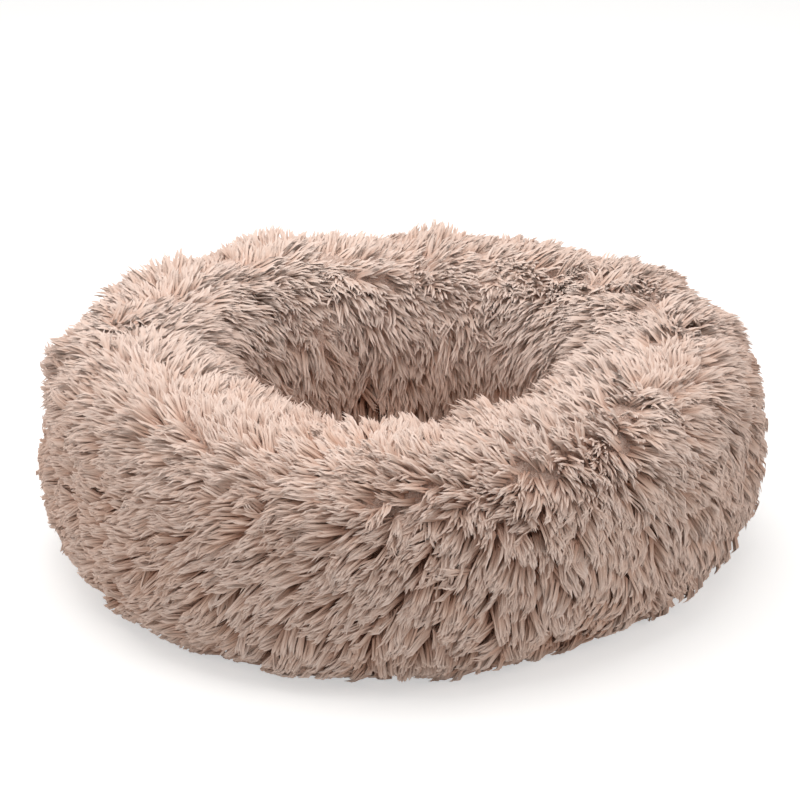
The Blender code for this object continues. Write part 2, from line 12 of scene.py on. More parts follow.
import bpy
import numpy as np
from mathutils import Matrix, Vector


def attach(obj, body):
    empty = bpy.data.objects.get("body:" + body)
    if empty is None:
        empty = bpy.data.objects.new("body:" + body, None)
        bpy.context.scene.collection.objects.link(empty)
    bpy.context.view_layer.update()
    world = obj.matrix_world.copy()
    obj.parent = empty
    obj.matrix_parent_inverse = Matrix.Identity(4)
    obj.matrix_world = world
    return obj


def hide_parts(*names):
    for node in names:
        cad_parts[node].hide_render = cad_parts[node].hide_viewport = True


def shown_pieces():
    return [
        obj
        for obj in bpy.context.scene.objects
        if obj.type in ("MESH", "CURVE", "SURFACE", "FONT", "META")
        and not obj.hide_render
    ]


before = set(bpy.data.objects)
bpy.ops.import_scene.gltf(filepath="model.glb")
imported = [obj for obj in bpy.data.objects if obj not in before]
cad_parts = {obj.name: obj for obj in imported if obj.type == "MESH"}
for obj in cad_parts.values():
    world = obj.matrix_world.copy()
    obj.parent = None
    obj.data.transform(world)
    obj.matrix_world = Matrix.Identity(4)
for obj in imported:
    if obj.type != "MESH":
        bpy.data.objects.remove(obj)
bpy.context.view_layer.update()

MM = 0.001

# %% [markdown]
# ## The camera
#
# The photograph looks down at the bed by about 22 degrees, through a long lens from about two
# metres. The camera could be aimed at the bed and then shifted, but a shift would follow it into
# every other view. So it is aimed a little above the bed, which frames it as the photograph does.

# %% Camera
IMAGE_SIDE = 800
LOOK_DOWN = 21.994
CAMERA_DISTANCE = 2.032
FOCAL_PIXELS = 2365
AIM_HEIGHT = 90 * MM
AIM_RIGHT_PIXELS, AIM_DOWN_PIXELS = 4, 49
SENSOR_WIDTH_MM = 36
CLIP_NEAR, CLIP_FAR = 0.1, 50


def make_camera():
    """A camera on a line that rises LOOK_DOWN degrees from the bed, turned so that the bed's
    middle falls a few pixels right of and below the picture's middle."""
    data = bpy.data.cameras.new("camera")
    data.sensor_width = SENSOR_WIDTH_MM
    data.lens = SENSOR_WIDTH_MM * FOCAL_PIXELS / IMAGE_SIDE
    data.clip_start, data.clip_end = CLIP_NEAR, CLIP_FAR
    camera = bpy.data.objects.new("camera", data)
    bpy.context.scene.collection.objects.link(camera)
    down = math.radians(LOOK_DOWN)
    out, up = CAMERA_DISTANCE * math.cos(down), CAMERA_DISTANCE * math.sin(down)
    camera.location = (0, -out, AIM_HEIGHT + up)
    pitch = math.pi / 2 - down + math.atan(AIM_DOWN_PIXELS / FOCAL_PIXELS)
    yaw = math.atan(AIM_RIGHT_PIXELS / FOCAL_PIXELS)
    camera.rotation_euler = (pitch, 0, yaw)
    bpy.context.scene.camera = camera
    print("lens %.1f mm" % data.lens)


make_camera()

# %% [markdown]
# ## Materials from small nodes
#
# Every finish here is a few nodes joined to a Principled shader. One helper adds a node with its
# settings and links, so that a material reads as a list of what it is made of. Most are dressed in
# the same way: one pattern is coloured by a ramp, and the same or another one raises a relief.
# Colours are written as sRGB hex values, as a picker shows them, and one function turns them to
# the linear values that the shader works in.

# %% Colours and nodes
SRGB_FOOT, SRGB_SLOPE = 0.04045, 12.92
SRGB_OFFSET, SRGB_POWER = 0.055, 2.4


def linear(hex_colour):
    """An sRGB hex colour as linear red, green, blue and alpha: the power curve of the sRGB
    standard, with its straight foot."""
    channels = [int(hex_colour[i : i + 2], 16) / 255 for i in (1, 3, 5)]
    curve = [((c + SRGB_OFFSET) / (1 + SRGB_OFFSET)) ** SRGB_POWER for c in channels]
    return (*(c / SRGB_SLOPE if c <= SRGB_FOOT else high for c, high in zip(channels, curve)), 1.0)


def add_node(tree, kind, settings=None, **inputs):
    """Adds a node, sets its properties, and sets or links its inputs by name or number."""
    node = tree.nodes.new("ShaderNode" + kind)
    for name, value in (settings or {}).items():
        setattr(node, name, value)
    for name, value in inputs.items():
        socket = node.inputs[int(name[1:]) if name[0] == "_" else name.replace("_", " ")]
        if isinstance(value, bpy.types.NodeSocket):
            tree.links.new(value, socket)
        else:
            socket.default_value = value
    return node


def new_material(name, **principled):
    """An empty material with its Principled shader, whose inputs are set or linked by name."""
    material = bpy.data.materials.new(name)
    material.use_nodes = True
    tree = material.node_tree
    tree.nodes.clear()
    shader = add_node(tree, "BsdfPrincipled", **principled)
    add_node(tree, "OutputMaterial", Surface=shader.outputs[0])
    return material, tree, shader


def colour_ramp(tree, factor, stops):
    """A ramp through hex colours at given places from 0 to 1."""
    ramp = add_node(tree, "ValToRGB", Fac=factor)
    elements = ramp.color_ramp.elements
    while len(elements) < len(stops):
        elements.new(0.5)
    for element, (place, colour) in zip(elements, stops):
        element.position = place
        element.color = linear(colour)
    return ramp.outputs["Color"]


# %% Patterns
def math_node(tree, operation, *values):
    """One sum of arithmetic on numbers or other nodes' outputs."""
    inputs = {"_%d" % i: value for i, value in enumerate(values)}
    return add_node(tree, "Math", {"operation": operation}, **inputs).outputs[0]


def pattern(tree, kind="TexNoise", settings=None, output=0, **inputs):
    """One output of a texture that is laid out over the object's own coordinates."""
    position = add_node(tree, "TexCoord").outputs["Object"]
    return add_node(tree, kind, settings, Vector=position, **inputs).outputs[output]


def dress(tree, shader, tint, stops, height=None, relief=0.0, strength=0.0):
    """Colours a shader by a ramp over one pattern, and bumps it by a relief from another."""
    tree.links.new(colour_ramp(tree, tint, stops), shader.inputs["Base Color"])
    if height is not None:
        bump = add_node(tree, "Bump", Height=height, Distance=relief, Strength=strength)
        tree.links.new(bump.outputs[0], shader.inputs["Normal"])


def noisy(name, noise, stops, relief, strength, **principled):
    """A finish from one noise, which gives both its colour and its relief."""
    material, tree, shader = new_material(name, **principled)
    height = pattern(tree, **noise)
    dress(tree, shader, height, stops, height, relief, strength)
    return material


# %% [markdown]
# ## The plush's backing cloth, as a formula
#
# The pile grows out of a knitted backing that is stretched over the stuffing. Its place is the
# same formula as the solids': a superellipse section carried round the bed, with a slightly
# uneven outline, a twisted foot and soft gathers over the crest. Here it works on whole arrays,
# because a hundred thousand roots have to be placed on it.

# %% The bed's sizes
BED_DIAMETER = 610 * MM
BED_HEIGHT = 215 * MM
RING_WIDTH = 178 * MM
BELLY_HEIGHT = 85 * MM
PILE = 20 * MM
PAD_CROWN = 10 * MM
UPPER_POWER, LOWER_POWER = 2.5, 2.6
BASE_SEAM_TURN, CREST_SEAM_TURN, NEST_SEAM_TURN = -62.0, 65.0, 200.0
TWO_LOBE_SHARE, THREE_LOBE_SHARE = 0.015, 0.022
FOOT_TWIST_SHARE, FOOT_REACH_SHARE = 0.034, 0.9
GATHER_DEPTH = 8 * MM
GATHER_ANGLES = np.array([-162, -114, -78, -54, -24, 6, 48, 90, 132, 162])
GATHER_SPREAD = 6.5
GATHER_TURN, GATHER_TURN_REACH = 115.0, 75.0
DIP_DEPTH, DIP_ANGLE, DIP_SHARPNESS = 28 * MM, -98.0, 3
RING_RADIUS = BED_DIAMETER / 2 - RING_WIDTH / 2
NEST_RADIUS = BED_DIAMETER / 2 - RING_WIDTH

# %% Small formulas
TINY = 1e-9


def wrapped(degrees):
    """An angle brought into -180 to 180 degrees."""
    return (degrees + 180) % 360 - 180


def all_round(count):
    """Evenly spaced angles round the bed, in degrees from -180."""
    return np.linspace(-180, 180, count, endpoint=False)


def bell(distance, width, power=2):
    """A bell curve: e to the minus the power of distance over width, which is 1 in the middle."""
    return np.exp(-((distance / width) ** power))


def smooth_step(share):
    """A share eased at both ends: three times its square less twice its cube."""
    return share**2 * (3 - 2 * share)


def summed(lengths):
    """Running totals, from 0."""
    return np.concatenate([[0], np.cumsum(lengths)])


def unit(vectors):
    """Vectors over their lengths."""
    return vectors / np.maximum(np.linalg.norm(vectors, axis=-1, keepdims=True), 1e-12)


# %% The soft, uneven form
def section(turn, inset=(0, 0, 0)):
    """Radius and height on the ring's section at a turn in degrees. Each is a cosine or sine
    raised to two over the superellipse's power, times the half width or height less an inset
    (side, top, bottom)."""
    across, up = np.cos(np.radians(turn)), np.sin(np.radians(turn))
    power = np.where(up > 0, UPPER_POWER, LOWER_POWER)
    rise = np.where(up > 0, BED_HEIGHT - BELLY_HEIGHT - inset[1], BELLY_HEIGHT - inset[2])
    reach = RING_WIDTH / 2 - inset[0]
    radius = RING_RADIUS + np.sign(across) * reach * np.abs(across) ** (2 / power)
    height = BELLY_HEIGHT + np.sign(up) * rise * np.abs(up) ** (2 / power)
    return radius, height


def gathered(radius, height, around):
    """Draws points in towards the ring's core at the gathers: a bell curve round the bed times
    a squared cosine round the section."""
    rise = np.where(height > BELLY_HEIGHT, BED_HEIGHT - BELLY_HEIGHT, BELLY_HEIGHT)
    across = (radius - RING_RADIUS) / (RING_WIDTH / 2)
    up = (height - BELLY_HEIGHT) / rise
    size = np.hypot(across, up) + TINY
    off_crest = wrapped(np.degrees(np.arctan2(up, across)) - GATHER_TURN)
    weight = np.cos(np.pi / 2 * np.minimum(1, np.abs(off_crest) / GATHER_TURN_REACH)) ** 2
    fold = bell(wrapped(np.asarray(around)[..., None] - GATHER_ANGLES), GATHER_SPREAD).sum(-1)
    pull = GATHER_DEPTH * weight * fold * np.minimum(1, size) / size
    return radius - pull * across, height - pull * up


def stretched(radius, height, around):
    """Scales a radius by the uneven outline, and by a twist that fades out above the foot."""
    a = np.radians(around)
    lobes = TWO_LOBE_SHARE * np.cos(2 * a) + THREE_LOBE_SHARE * (np.sin(3 * a) + np.sin(a))
    fade = np.maximum(0, 1 - height / (FOOT_REACH_SHARE * BED_HEIGHT))
    return radius * (1 + lobes) * (1 + FOOT_TWIST_SHARE * np.sin(2 * a) * fade)


def dipped(height, around):
    """Lowers heights above the belly where the crest is pressed down: a cosine's bell raised to
    a power, times the dip's share of the crest's height."""
    pressed = ((1 + np.cos(np.radians(around - DIP_ANGLE))) / 2) ** DIP_SHARPNESS
    lowered = 1 - pressed * DIP_DEPTH / (BED_HEIGHT - BELLY_HEIGHT)
    return np.where(height < BELLY_HEIGHT, height, BELLY_HEIGHT + (height - BELLY_HEIGHT) * lowered)


# %% The bed in its place
outline_angles = np.arange(0, 360, 6)
outline = stretched(BED_DIAMETER / 2, BELLY_HEIGHT, outline_angles)
OUTLINE_X = outline * np.cos(np.radians(outline_angles))
OUTLINE_Y = outline * np.sin(np.radians(outline_angles))
CENTRE_X = (OUTLINE_X.max() + OUTLINE_X.min()) / 2
CENTRE_Y = (OUTLINE_Y.max() + OUTLINE_Y.min()) / 2
print("the ring's middle lies %.1f, %.1f mm off" % (-CENTRE_X / MM, -CENTRE_Y / MM))


def shaped(radius, height, around):
    """Where points of the plain round bed lie in the soft, uneven one, as x, y and z."""
    radius, height = gathered(radius, height, around)
    radius = stretched(radius, height, around)
    height = dipped(height, around)
    a = np.radians(around)
    x, y = radius * np.cos(a) - CENTRE_X, radius * np.sin(a) - CENTRE_Y
    return np.stack(np.broadcast_arrays(x, y, height), -1)


def nest_back(radius):
    """Height of the nest panel's backing: a shallow parabola over the pad."""
    edge = section(NEST_SEAM_TURN)[1]
    return edge + PAD_CROWN * (1 - np.minimum(1, radius / NEST_RADIUS) ** 2)


# %% The backing's profile, by its length
WALL_STEPS, PANEL_STEPS = 300, 80
PANEL_POLE = 4 * MM
profile_turns = np.linspace(BASE_SEAM_TURN, NEST_SEAM_TURN, WALL_STEPS)
wall_radius, wall_height = section(profile_turns, (PILE, PILE, 0))
panel_radius = np.linspace(wall_radius[-1], PANEL_POLE, PANEL_STEPS)[1:]
PROFILE_RADIUS = np.concatenate([wall_radius, panel_radius])
PROFILE_HEIGHT = np.concatenate([wall_height, nest_back(panel_radius)])
PROFILE_ALONG = summed(np.hypot(np.diff(PROFILE_RADIUS), np.diff(PROFILE_HEIGHT)))


def along_at(turn):
    """Length along the profile from the base seam to a turn of the ring's section."""
    return np.interp(turn, profile_turns, PROFILE_ALONG[:WALL_STEPS])


CREST_SEAM, NEST_SEAM = along_at(CREST_SEAM_TURN), along_at(NEST_SEAM_TURN)
NEST_MIDDLE = PROFILE_ALONG[-1]
for place, along in (("crest seam", CREST_SEAM), ("nest seam", NEST_SEAM), ("middle", NEST_MIDDLE)):
    print("%s at %.0f mm along the profile" % (place, along / MM))


# %% Points of the backing
STEP_AROUND, STEP_ALONG = 0.3, 1.5 * MM


def backing(around, along):
    """A point of the backing cloth, by degrees round the bed and metres along the profile."""
    radius = np.interp(along, PROFILE_ALONG, PROFILE_RADIUS)
    height = np.interp(along, PROFILE_ALONG, PROFILE_HEIGHT)
    return shaped(radius, height, around)


def surface_frame(around, along):
    """Point, outward normal, and the unit directions along the profile and round the bed, from
    central differences over a short step each way."""
    side = unit(backing(around + STEP_AROUND, along) - backing(around - STEP_AROUND, along))
    up = backing(around, along + STEP_ALONG) - backing(around, along - STEP_ALONG)
    normal = unit(np.cross(side, up))
    return backing(around, along), normal, unit(np.cross(normal, side)), side


# %% [markdown]
# ## Which way the pile lies
#
# Shaken plush doesn't lie at random. It parts along the crest, falls outwards and down the wall,
# and is swept to one side where a hand has stroked it. Where the tube of plush is eased round
# the ring the pile turns away from a point in a whorl, and stands up in its middle. The sweep is
# a table of leans at four heights, the whorls are a table of places, and waves of several
# lengths make it uneven. The nest's round panel is one flat piece of plush, so its pile all lies
# roughly one way.

# %% Comb tables
COMB_AROUND = [
    -180, -165, -150, -130, -113, -100, -90, -80, -70, -60, -48, -34, -20, 0, 30, 60, 90, 120, 150,
]
COMB_LEAN = [
    [0, 25, 50, 65, 75, 85, 88, 80, 60, 35, 10, 0, -10, 0, 20, 45, 60, 45, 20],
    [60, 68, 72, 66, 62, 60, 58, 48, 30, 10, -15, -25, -25, -20, -5, 5, 0, 10, 40],
    [62, 68, 70, 65, 55, 48, 42, 32, 18, 5, 0, -5, -10, -15, -5, 0, 0, 20, 45],
    [70, 74, 76, 70, 60, 50, 42, 35, 25, 20, 15, 12, 0, -5, 0, 5, 10, 25, 50],
]
COMB_DEPTHS = np.array([0.0, 0.22, 0.55, 1.0])
LEAN_FADE = 45 * MM
LEAN_WAVES = ((18, 75 * MM, 3), (12, 30 * MM, 4))
RIDGE_TURN, RIDGE_SWING = 83.0, 25.0
RIDGE_SOFTNESS, RIDGE_STANDING = 20 * MM, 0.2
WHORLS = [
    # around, turn, push, reach in mm
    (-168, 97, 2.2, 30), (-146, 44, 0.8, 20), (-113, 52, 0.7, 20), (-81, 57, 1.3, 24),
    (-60, 52, 1.8, 26), (-34, 45, 1.3, 26), (-19, 93, 1.8, 22), (30, 109, 1.6, 24),
    (49, 131, 1.8, 20), (75, 96, 1.2, 24), (104, 108, 1.4, 26), (133, 92, 1.5, 24), (160, 104, 1.4, 24),
]
WHORL_PUSH, WHORL_STANDING, WHORL_CORE = 0.3, 0.5, 0.6
PANEL_HEADING, PANEL_BLEND = 250.0, 25 * MM
PANEL_WAVE = (50, 60 * MM, 17)
WAVE_COUNT, WAVE_GAIN, WAVE_SPREAD = 7, 2.2, (0.7, 1.5)


# %% Waves, parting and whorls
def waves(points, wavelength, seed):
    """Smooth noise from about -1 to 1: the mean of sine waves that cross in random directions,
    with lengths spread round the one asked for, times a gain."""
    generator = np.random.default_rng(seed)
    directions = unit(generator.normal(size=(WAVE_COUNT, 3)))
    lengths = wavelength * generator.uniform(*WAVE_SPREAD, WAVE_COUNT)
    phases = generator.uniform(0, 2 * np.pi, WAVE_COUNT)
    turns = points @ (directions / lengths[:, None]).T * 2 * np.pi
    return np.sin(turns + phases).mean(-1) * WAVE_GAIN


def ridge_at(around):
    """Length along the profile at which the pile parts, by degrees round the bed."""
    return along_at(RIDGE_TURN + RIDGE_SWING * np.sin(np.radians(around)))


def comb_lean(around, depth):
    """The lean in degrees, from the tables: straight between two angles, and between two depths
    below the parting."""
    rows = np.array([np.interp(around, COMB_AROUND, row, period=360) for row in COMB_LEAN])
    below = np.clip(np.searchsorted(COMB_DEPTHS, depth) - 1, 0, len(COMB_DEPTHS) - 2)
    share = (depth - COMB_DEPTHS[below]) / (COMB_DEPTHS[below + 1] - COMB_DEPTHS[below])
    index = np.arange(len(around))
    return rows[below, index] * (1 - share) + rows[below + 1, index] * share


def whorled(point, heading):
    """Pushes directions away from each whorl by a bell curve of the distance, and says how far
    the pile stands up there, by a narrower one."""
    standing = np.zeros(len(point))
    for around, turn, push, reach in WHORLS:
        away = point - backing(around, along_at(turn))
        distance = np.linalg.norm(away, axis=1)
        weight = WHORL_PUSH * push * bell(distance, reach * MM)
        heading = heading + weight[:, None] * unit(away)
        standing = standing + WHORL_STANDING * bell(distance, WHORL_CORE * reach * MM)
    return heading, standing


# %% Comb directions
def combed(around, along, surface, stray):
    """The direction that the pile lies in, in the plane of the backing: the fall away from the
    parting, turned by the lean and by waves, blended into one way on the nest's panel, and pushed
    away from the whorls. Also how far the pile stands up, from 0 to 1. Each lock takes these from
    a place that has strayed from its own, so that neither parting nor whorl is clean."""
    point, normal, up, side = surface
    point, along = point + stray, along + stray[:, 2]
    ridge = ridge_at(around)
    lean = comb_lean(around, np.clip((ridge - along) / ridge, 0, 1))
    lean = lean * np.exp(-(np.maximum(0, along - ridge) / LEAN_FADE))
    for degrees, wavelength, seed in LEAN_WAVES:
        lean = lean + degrees * waves(point, wavelength, seed)
    lean = np.radians(lean)[:, None]
    fall = np.tanh((along - ridge) / RIDGE_SOFTNESS)[:, None] * up
    heading = fall * np.cos(lean) - side * np.sin(lean)
    degrees, wavelength, seed = PANEL_WAVE
    panel_turn = np.radians(PANEL_HEADING + degrees * waves(point, wavelength, seed))
    panel_way = np.stack([np.cos(panel_turn), np.sin(panel_turn), 0 * panel_turn], -1)
    on_panel = np.clip((along - NEST_SEAM) / PANEL_BLEND, 0, 1)[:, None]
    heading, standing = whorled(point, heading + on_panel * (panel_way - heading))
    standing = standing + RIDGE_STANDING * bell(along - ridge, RIDGE_SOFTNESS)
    heading = heading - (heading * normal).sum(-1, keepdims=True) * normal
    return unit(heading), np.minimum(1, standing)


# %% [markdown]
# ## Clumps, locks and strands
#
# Long pile clings together twice over: fibres draw into pointed locks about 4 mm wide, and a
# dozen locks lean the same way as a clump, with a dark gap where two clumps part. Each clump
# and each lock here has a direction, a length and a lift, and the strands of a lock start apart
# at the backing and draw together towards its tip. A strand is a closed three-sided spike on a
# bent centre line, sixteen triangles in all. Clumps and locks are both spread with a
# low-discrepancy sequence, which leaves neither bald spots nor rows.

# %% Where clumps and locks stand
LOCKS, CLUMPS = 18100, 1500
LOCK_START, CLUMP_START = 0.5, 0.27
PLASTIC_NUMBER = 1.32471795724475
RIDGE_DENSER, RIDGE_DENSER_REACH = 1.0, 65 * MM
rng = np.random.default_rng(11)


def spread_evenly(count, start):
    """Places on the backing from the plastic-number sequence. Its second coordinate is turned
    into a length along the profile, so that every equal area gets as many, but for twice as
    many on the parting, where the pile falls both ways."""
    n = np.arange(count)
    around = 360 * ((start + n / PLASTIC_NUMBER) % 1) - 180
    share = (start + n / PLASTIC_NUMBER**2) % 1
    middle = (PROFILE_ALONG[1:] + PROFILE_ALONG[:-1]) / 2
    radius = np.interp(middle, PROFILE_ALONG, PROFILE_RADIUS)
    denser = 1 + RIDGE_DENSER * bell(middle - along_at(RIDGE_TURN), RIDGE_DENSER_REACH)
    area = summed(denser * radius * np.diff(PROFILE_ALONG))
    return around, np.interp(share, area / area[-1], PROFILE_ALONG)


def nearest(points, centres):
    """For each point the number of the centre closest to it, from squared distances worked out
    as one matrix."""
    products = points.astype(np.float32) @ centres.astype(np.float32).T
    return np.argmin((centres**2).sum(1)[None].astype(np.float32) - 2 * products, axis=1)


lock_around, lock_along = spread_evenly(LOCKS, LOCK_START)
lock_surface = surface_frame(lock_around, lock_along)
lock_root, lock_normal = lock_surface[:2]
clump_of = nearest(lock_root, backing(*spread_evenly(CLUMPS, CLUMP_START)))
print("%d locks in %d clumps" % (LOCKS, len(np.unique(clump_of))))

# %% [markdown]
# ## How loose the pile is
#
# On the wall the pile lies in distinct clumps. Over the crest and down into the ring it has been
# stroked until the clumps came apart, so it is softer and more even there, and it is loose in the
# nest too, where it is lain on. Loose pile is also coloured paler, with paler roots: painted light
# that lifts the shade between its strands. In front, where the crest is pressed down, the clumps
# have stayed. One number for each lock says it all, from 0 to 1.

# %% Looseness
FRONT_MIDDLE, LEFT_BACK_MIDDLE, MIDDLE_SPREAD = -95, 145, 45
FRONT_CLUMPED = 0.8
LOOSE_PAST_RIDGE, LOOSE_REACH = 35 * MM, 65 * MM
NEST_LOOSENESS, NEST_BLEND = 0.85, 20 * MM

front, left_back = (
    bell(wrapped(lock_around - middle), MIDDLE_SPREAD) for middle in (FRONT_MIDDLE, LEFT_BACK_MIDDLE)
)
past_ridge = lock_along - ridge_at(lock_around) - LOOSE_PAST_RIDGE * (1 - left_back)
in_nest = np.clip((lock_along - NEST_SEAM) / NEST_BLEND, 0, 1)
looseness = (1 - FRONT_CLUMPED * front) * bell(past_ridge, LOOSE_REACH)
looseness = np.maximum(looseness, NEST_LOOSENESS * in_nest)
print("mean looseness %.2f" % looseness.mean())

# %% Which way each lock lies
CLUMP_STRAY, LOCK_STRAY = 11 * MM, 6 * MM
LOOSE_LIES_DOWN = 0.7
CLUMP_TURN, LOOSE_TURNS_LESS = 15, 0.5
TOUSLED, TOUSLED_LOOSE, TOUSLED_STANDING = 10, 6, 25


def scattered(by_clump, by_lock, *size):
    """Random numbers for the locks, from a normal curve: one drawn for each clump and one for
    each lock, times their spreads."""
    shared = by_clump * rng.normal(size=(CLUMPS, *size))[clump_of]
    return shared + by_lock * rng.normal(size=(LOCKS, *size))


def turned(heading, normal, degrees):
    """Directions in the backing's plane, turned about its normal."""
    angle = np.radians(degrees)[:, None]
    return heading * np.cos(angle) + np.cross(normal, heading) * np.sin(angle)


stray = scattered(CLUMP_STRAY, LOCK_STRAY, 3)
lock_heading, standing = combed(lock_around, lock_along, lock_surface, stray)
standing = standing * (1 - LOOSE_LIES_DOWN * looseness)
clump_turn = CLUMP_TURN * (1 - LOOSE_TURNS_LESS * looseness)
tousled = TOUSLED + TOUSLED_LOOSE * looseness + TOUSLED_STANDING * standing
lock_heading = turned(lock_heading, lock_normal, scattered(clump_turn, tousled))

# %% How long each lock is, and where its tip lies
PILE_LENGTH = 29 * MM
CLUMP_LENGTH, LOCK_LENGTH = 0.10, 0.09
NEST_SHORTER, LOOSE_LONGER = 0.20, 0.12
FOOT_SHORTER, FOOT_REACH = 0.10, 40 * MM
CLUMP_RISE, WAVE_RISE, STANDING_RISE, LOOSE_RISES_LESS = 7, 6, 14, 0.5
LOCK_RISE, LOCK_BEND = 6, 0.13
LIFT, LIFT_LOOSE, LIFT_MOST = 70, 12, 85
LAY, LAY_LOOSE, LAY_MOST = 43, 8, 80
CLUMP_DRAW, CLUMP_DRAW_LOOSE = 0.30, 0.24
SAG = 0.08

at_foot = np.clip(1 - lock_along / FOOT_REACH, 0, 1)
lock_length = PILE_LENGTH * (1 + scattered(CLUMP_LENGTH, LOCK_LENGTH))
lock_length *= (1 - NEST_SHORTER * in_nest) * (1 - FOOT_SHORTER * at_foot)
lock_length *= 1 + LOOSE_LONGER * looseness
rise = CLUMP_RISE * rng.normal(size=CLUMPS)[clump_of] + WAVE_RISE * waves(lock_root, 50 * MM, 6)
rise = (rise + STANDING_RISE * standing) * (1 - LOOSE_RISES_LESS * looseness)


def slope(degrees, when_loose, most):
    """An angle from the backing for each lock, in radians: flatter where the pile is loose,
    steeper by its clump's rise, and no steeper than the most."""
    own = degrees - when_loose * looseness + rise + LOCK_RISE * rng.normal(size=LOCKS)
    return np.radians(np.minimum(most, own))[:, None]


lock_lift = slope(LIFT, LIFT_LOOSE, LIFT_MOST)
lock_lay = slope(LAY, LAY_LOOSE, LAY_MOST)
lock_bend = LOCK_BEND * rng.normal(size=LOCKS)[:, None]
lock_tip = lock_root + lock_length[:, None] * (
    np.sin(lock_lay) * lock_normal + np.cos(lock_lay) * lock_heading
)
members = np.maximum(np.bincount(clump_of, minlength=CLUMPS), 1)[:, None]
clump_tip = np.stack([np.bincount(clump_of, lock_tip[:, i], CLUMPS) for i in range(3)], 1) / members
draw = (CLUMP_DRAW - CLUMP_DRAW_LOOSE * looseness)[:, None]
lock_tip = lock_tip + draw * (clump_tip[clump_of] - lock_tip)
lock_tip[:, 2] -= SAG * lock_length
print("locks are %.1f mm long on average" % (lock_length.mean() / MM))

# %% [markdown]
# ## Strands
#
# Each lock has six strands. The bed's own softness shows in them too: broad tufts stand out a
# little, as on the solids, the strands under the label lie flat, and none stands out of the wall
# by more than its clump is allowed, so the bed's outline stays soft but true.

# %% Tufts, and the room that the pile has
TUFT_RISE = 4 * MM
TUFT_WAVES = ((12, 5.0, 30.0), (9, -4.5, 115.0), (15, 1.0, 230.0))
TUFT_SHARPNESS, TUFT_FADE_TURN = 1.5, 26.0
LABEL_ANGLE, LABEL_HALF_ANGLE, LABEL_TURN = 96.0, 2.8, 26.0
TUCK_SOFTNESS = 5 * MM
UNDER_LABEL, LABEL_TOP, LABEL_FADE = 1.8 * MM, 38 * MM, 10 * MM
LABEL_ROOM = 1.6


def tufted(around, along):
    """How far the pile's tips stand out on a tuft, or lie in between two: the mean of three sines
    of the two angles, made steeper, and faded out above the label and at the nest seam."""
    turn = np.interp(along, PROFILE_ALONG[:WALL_STEPS], profile_turns)
    room = np.minimum(turn - BASE_SEAM_TURN - LABEL_TURN, NEST_SEAM_TURN - turn)
    sines = [np.sin(np.radians(a * around + b * turn + start)) for a, b, start in TUFT_WAVES]
    swell = np.clip(TUFT_SHARPNESS * np.mean(sines, axis=0), -1, 1)
    return TUFT_RISE * np.clip(room / TUFT_FADE_TURN, 0, 1) * swell


def tucked(points, allowed):
    """Draws points of the outer wall in towards the ring's core where they stand out of the bed's
    section by more than is allowed, by a hyperbolic tangent. Under the label nothing may."""
    x, y, height = points[..., 0] + CENTRE_X, points[..., 1] + CENTRE_Y, points[..., 2]
    around = np.degrees(np.arctan2(y, x))
    width = stretched(1.0, height, around)
    across = np.maximum(0, np.hypot(x, y) / width - RING_RADIUS) / (RING_WIDTH / 2)
    down = np.maximum(0, BELLY_HEIGHT - height) / BELLY_HEIGHT
    size = (across**LOWER_POWER + down**LOWER_POWER) ** (1 / LOWER_POWER)
    covered = bell(wrapped(around - LABEL_ANGLE), LABEL_ROOM * LABEL_HALF_ANGLE, 4)
    covered = covered * np.clip((LABEL_TOP - height) / LABEL_FADE, 0, 1)
    allowed = allowed * (1 - covered) - UNDER_LABEL * covered
    soft = TUCK_SOFTNESS / BELLY_HEIGHT
    free = 1 + allowed / BELLY_HEIGHT - soft
    kept = np.minimum(size, free) + soft * np.tanh(np.maximum(0, size - free) / soft)
    scale = np.where((across > 0) & (size > 0), kept / np.maximum(size, TINY), 1)
    radius = RING_RADIUS + across * scale * RING_WIDTH / 2
    drawn = np.where(across > 0, radius * width / np.maximum(np.hypot(x, y), TINY), 1)
    height = np.where(down > 0, BELLY_HEIGHT * (1 - down * scale), height)
    return np.stack([x * drawn - CENTRE_X, y * drawn - CENTRE_Y, height], -1)


# %% Strands of a lock
STRANDS_PER_LOCK = 6
STRANDS = LOCKS * STRANDS_PER_LOCK
LOCK_SPREAD, SPREAD_LOOSE = 1.7 * MM, 0.7
CONTROL_SHARE = 0.42
OWN_TIP, OWN_TIP_LOOSE = 0.45, 0.4
TIP_SCATTER, TIP_SCATTER_LOOSE, TIP_AHEAD = 0.035, 0.03, 0.07
SPIKE_SHARES = np.array([0.0, 0.38, 0.86, 1.0])
CRIMP_SHARES = np.array([0, 1, 1, 0.6])[:, None]
STRAND_CRIMP, LOCK_CRIMP = 0.5 * MM, 0.7 * MM
ROOT_DEPTH = MM


def per_strand(values):
    """One value for each lock, repeated for its strands."""
    return np.repeat(values, STRANDS_PER_LOCK, axis=0)


def bezier(start, control, end, share):
    """A point of a quadratic Bezier curve."""
    return (1 - share) ** 2 * start + 2 * share * (1 - share) * control + share**2 * end


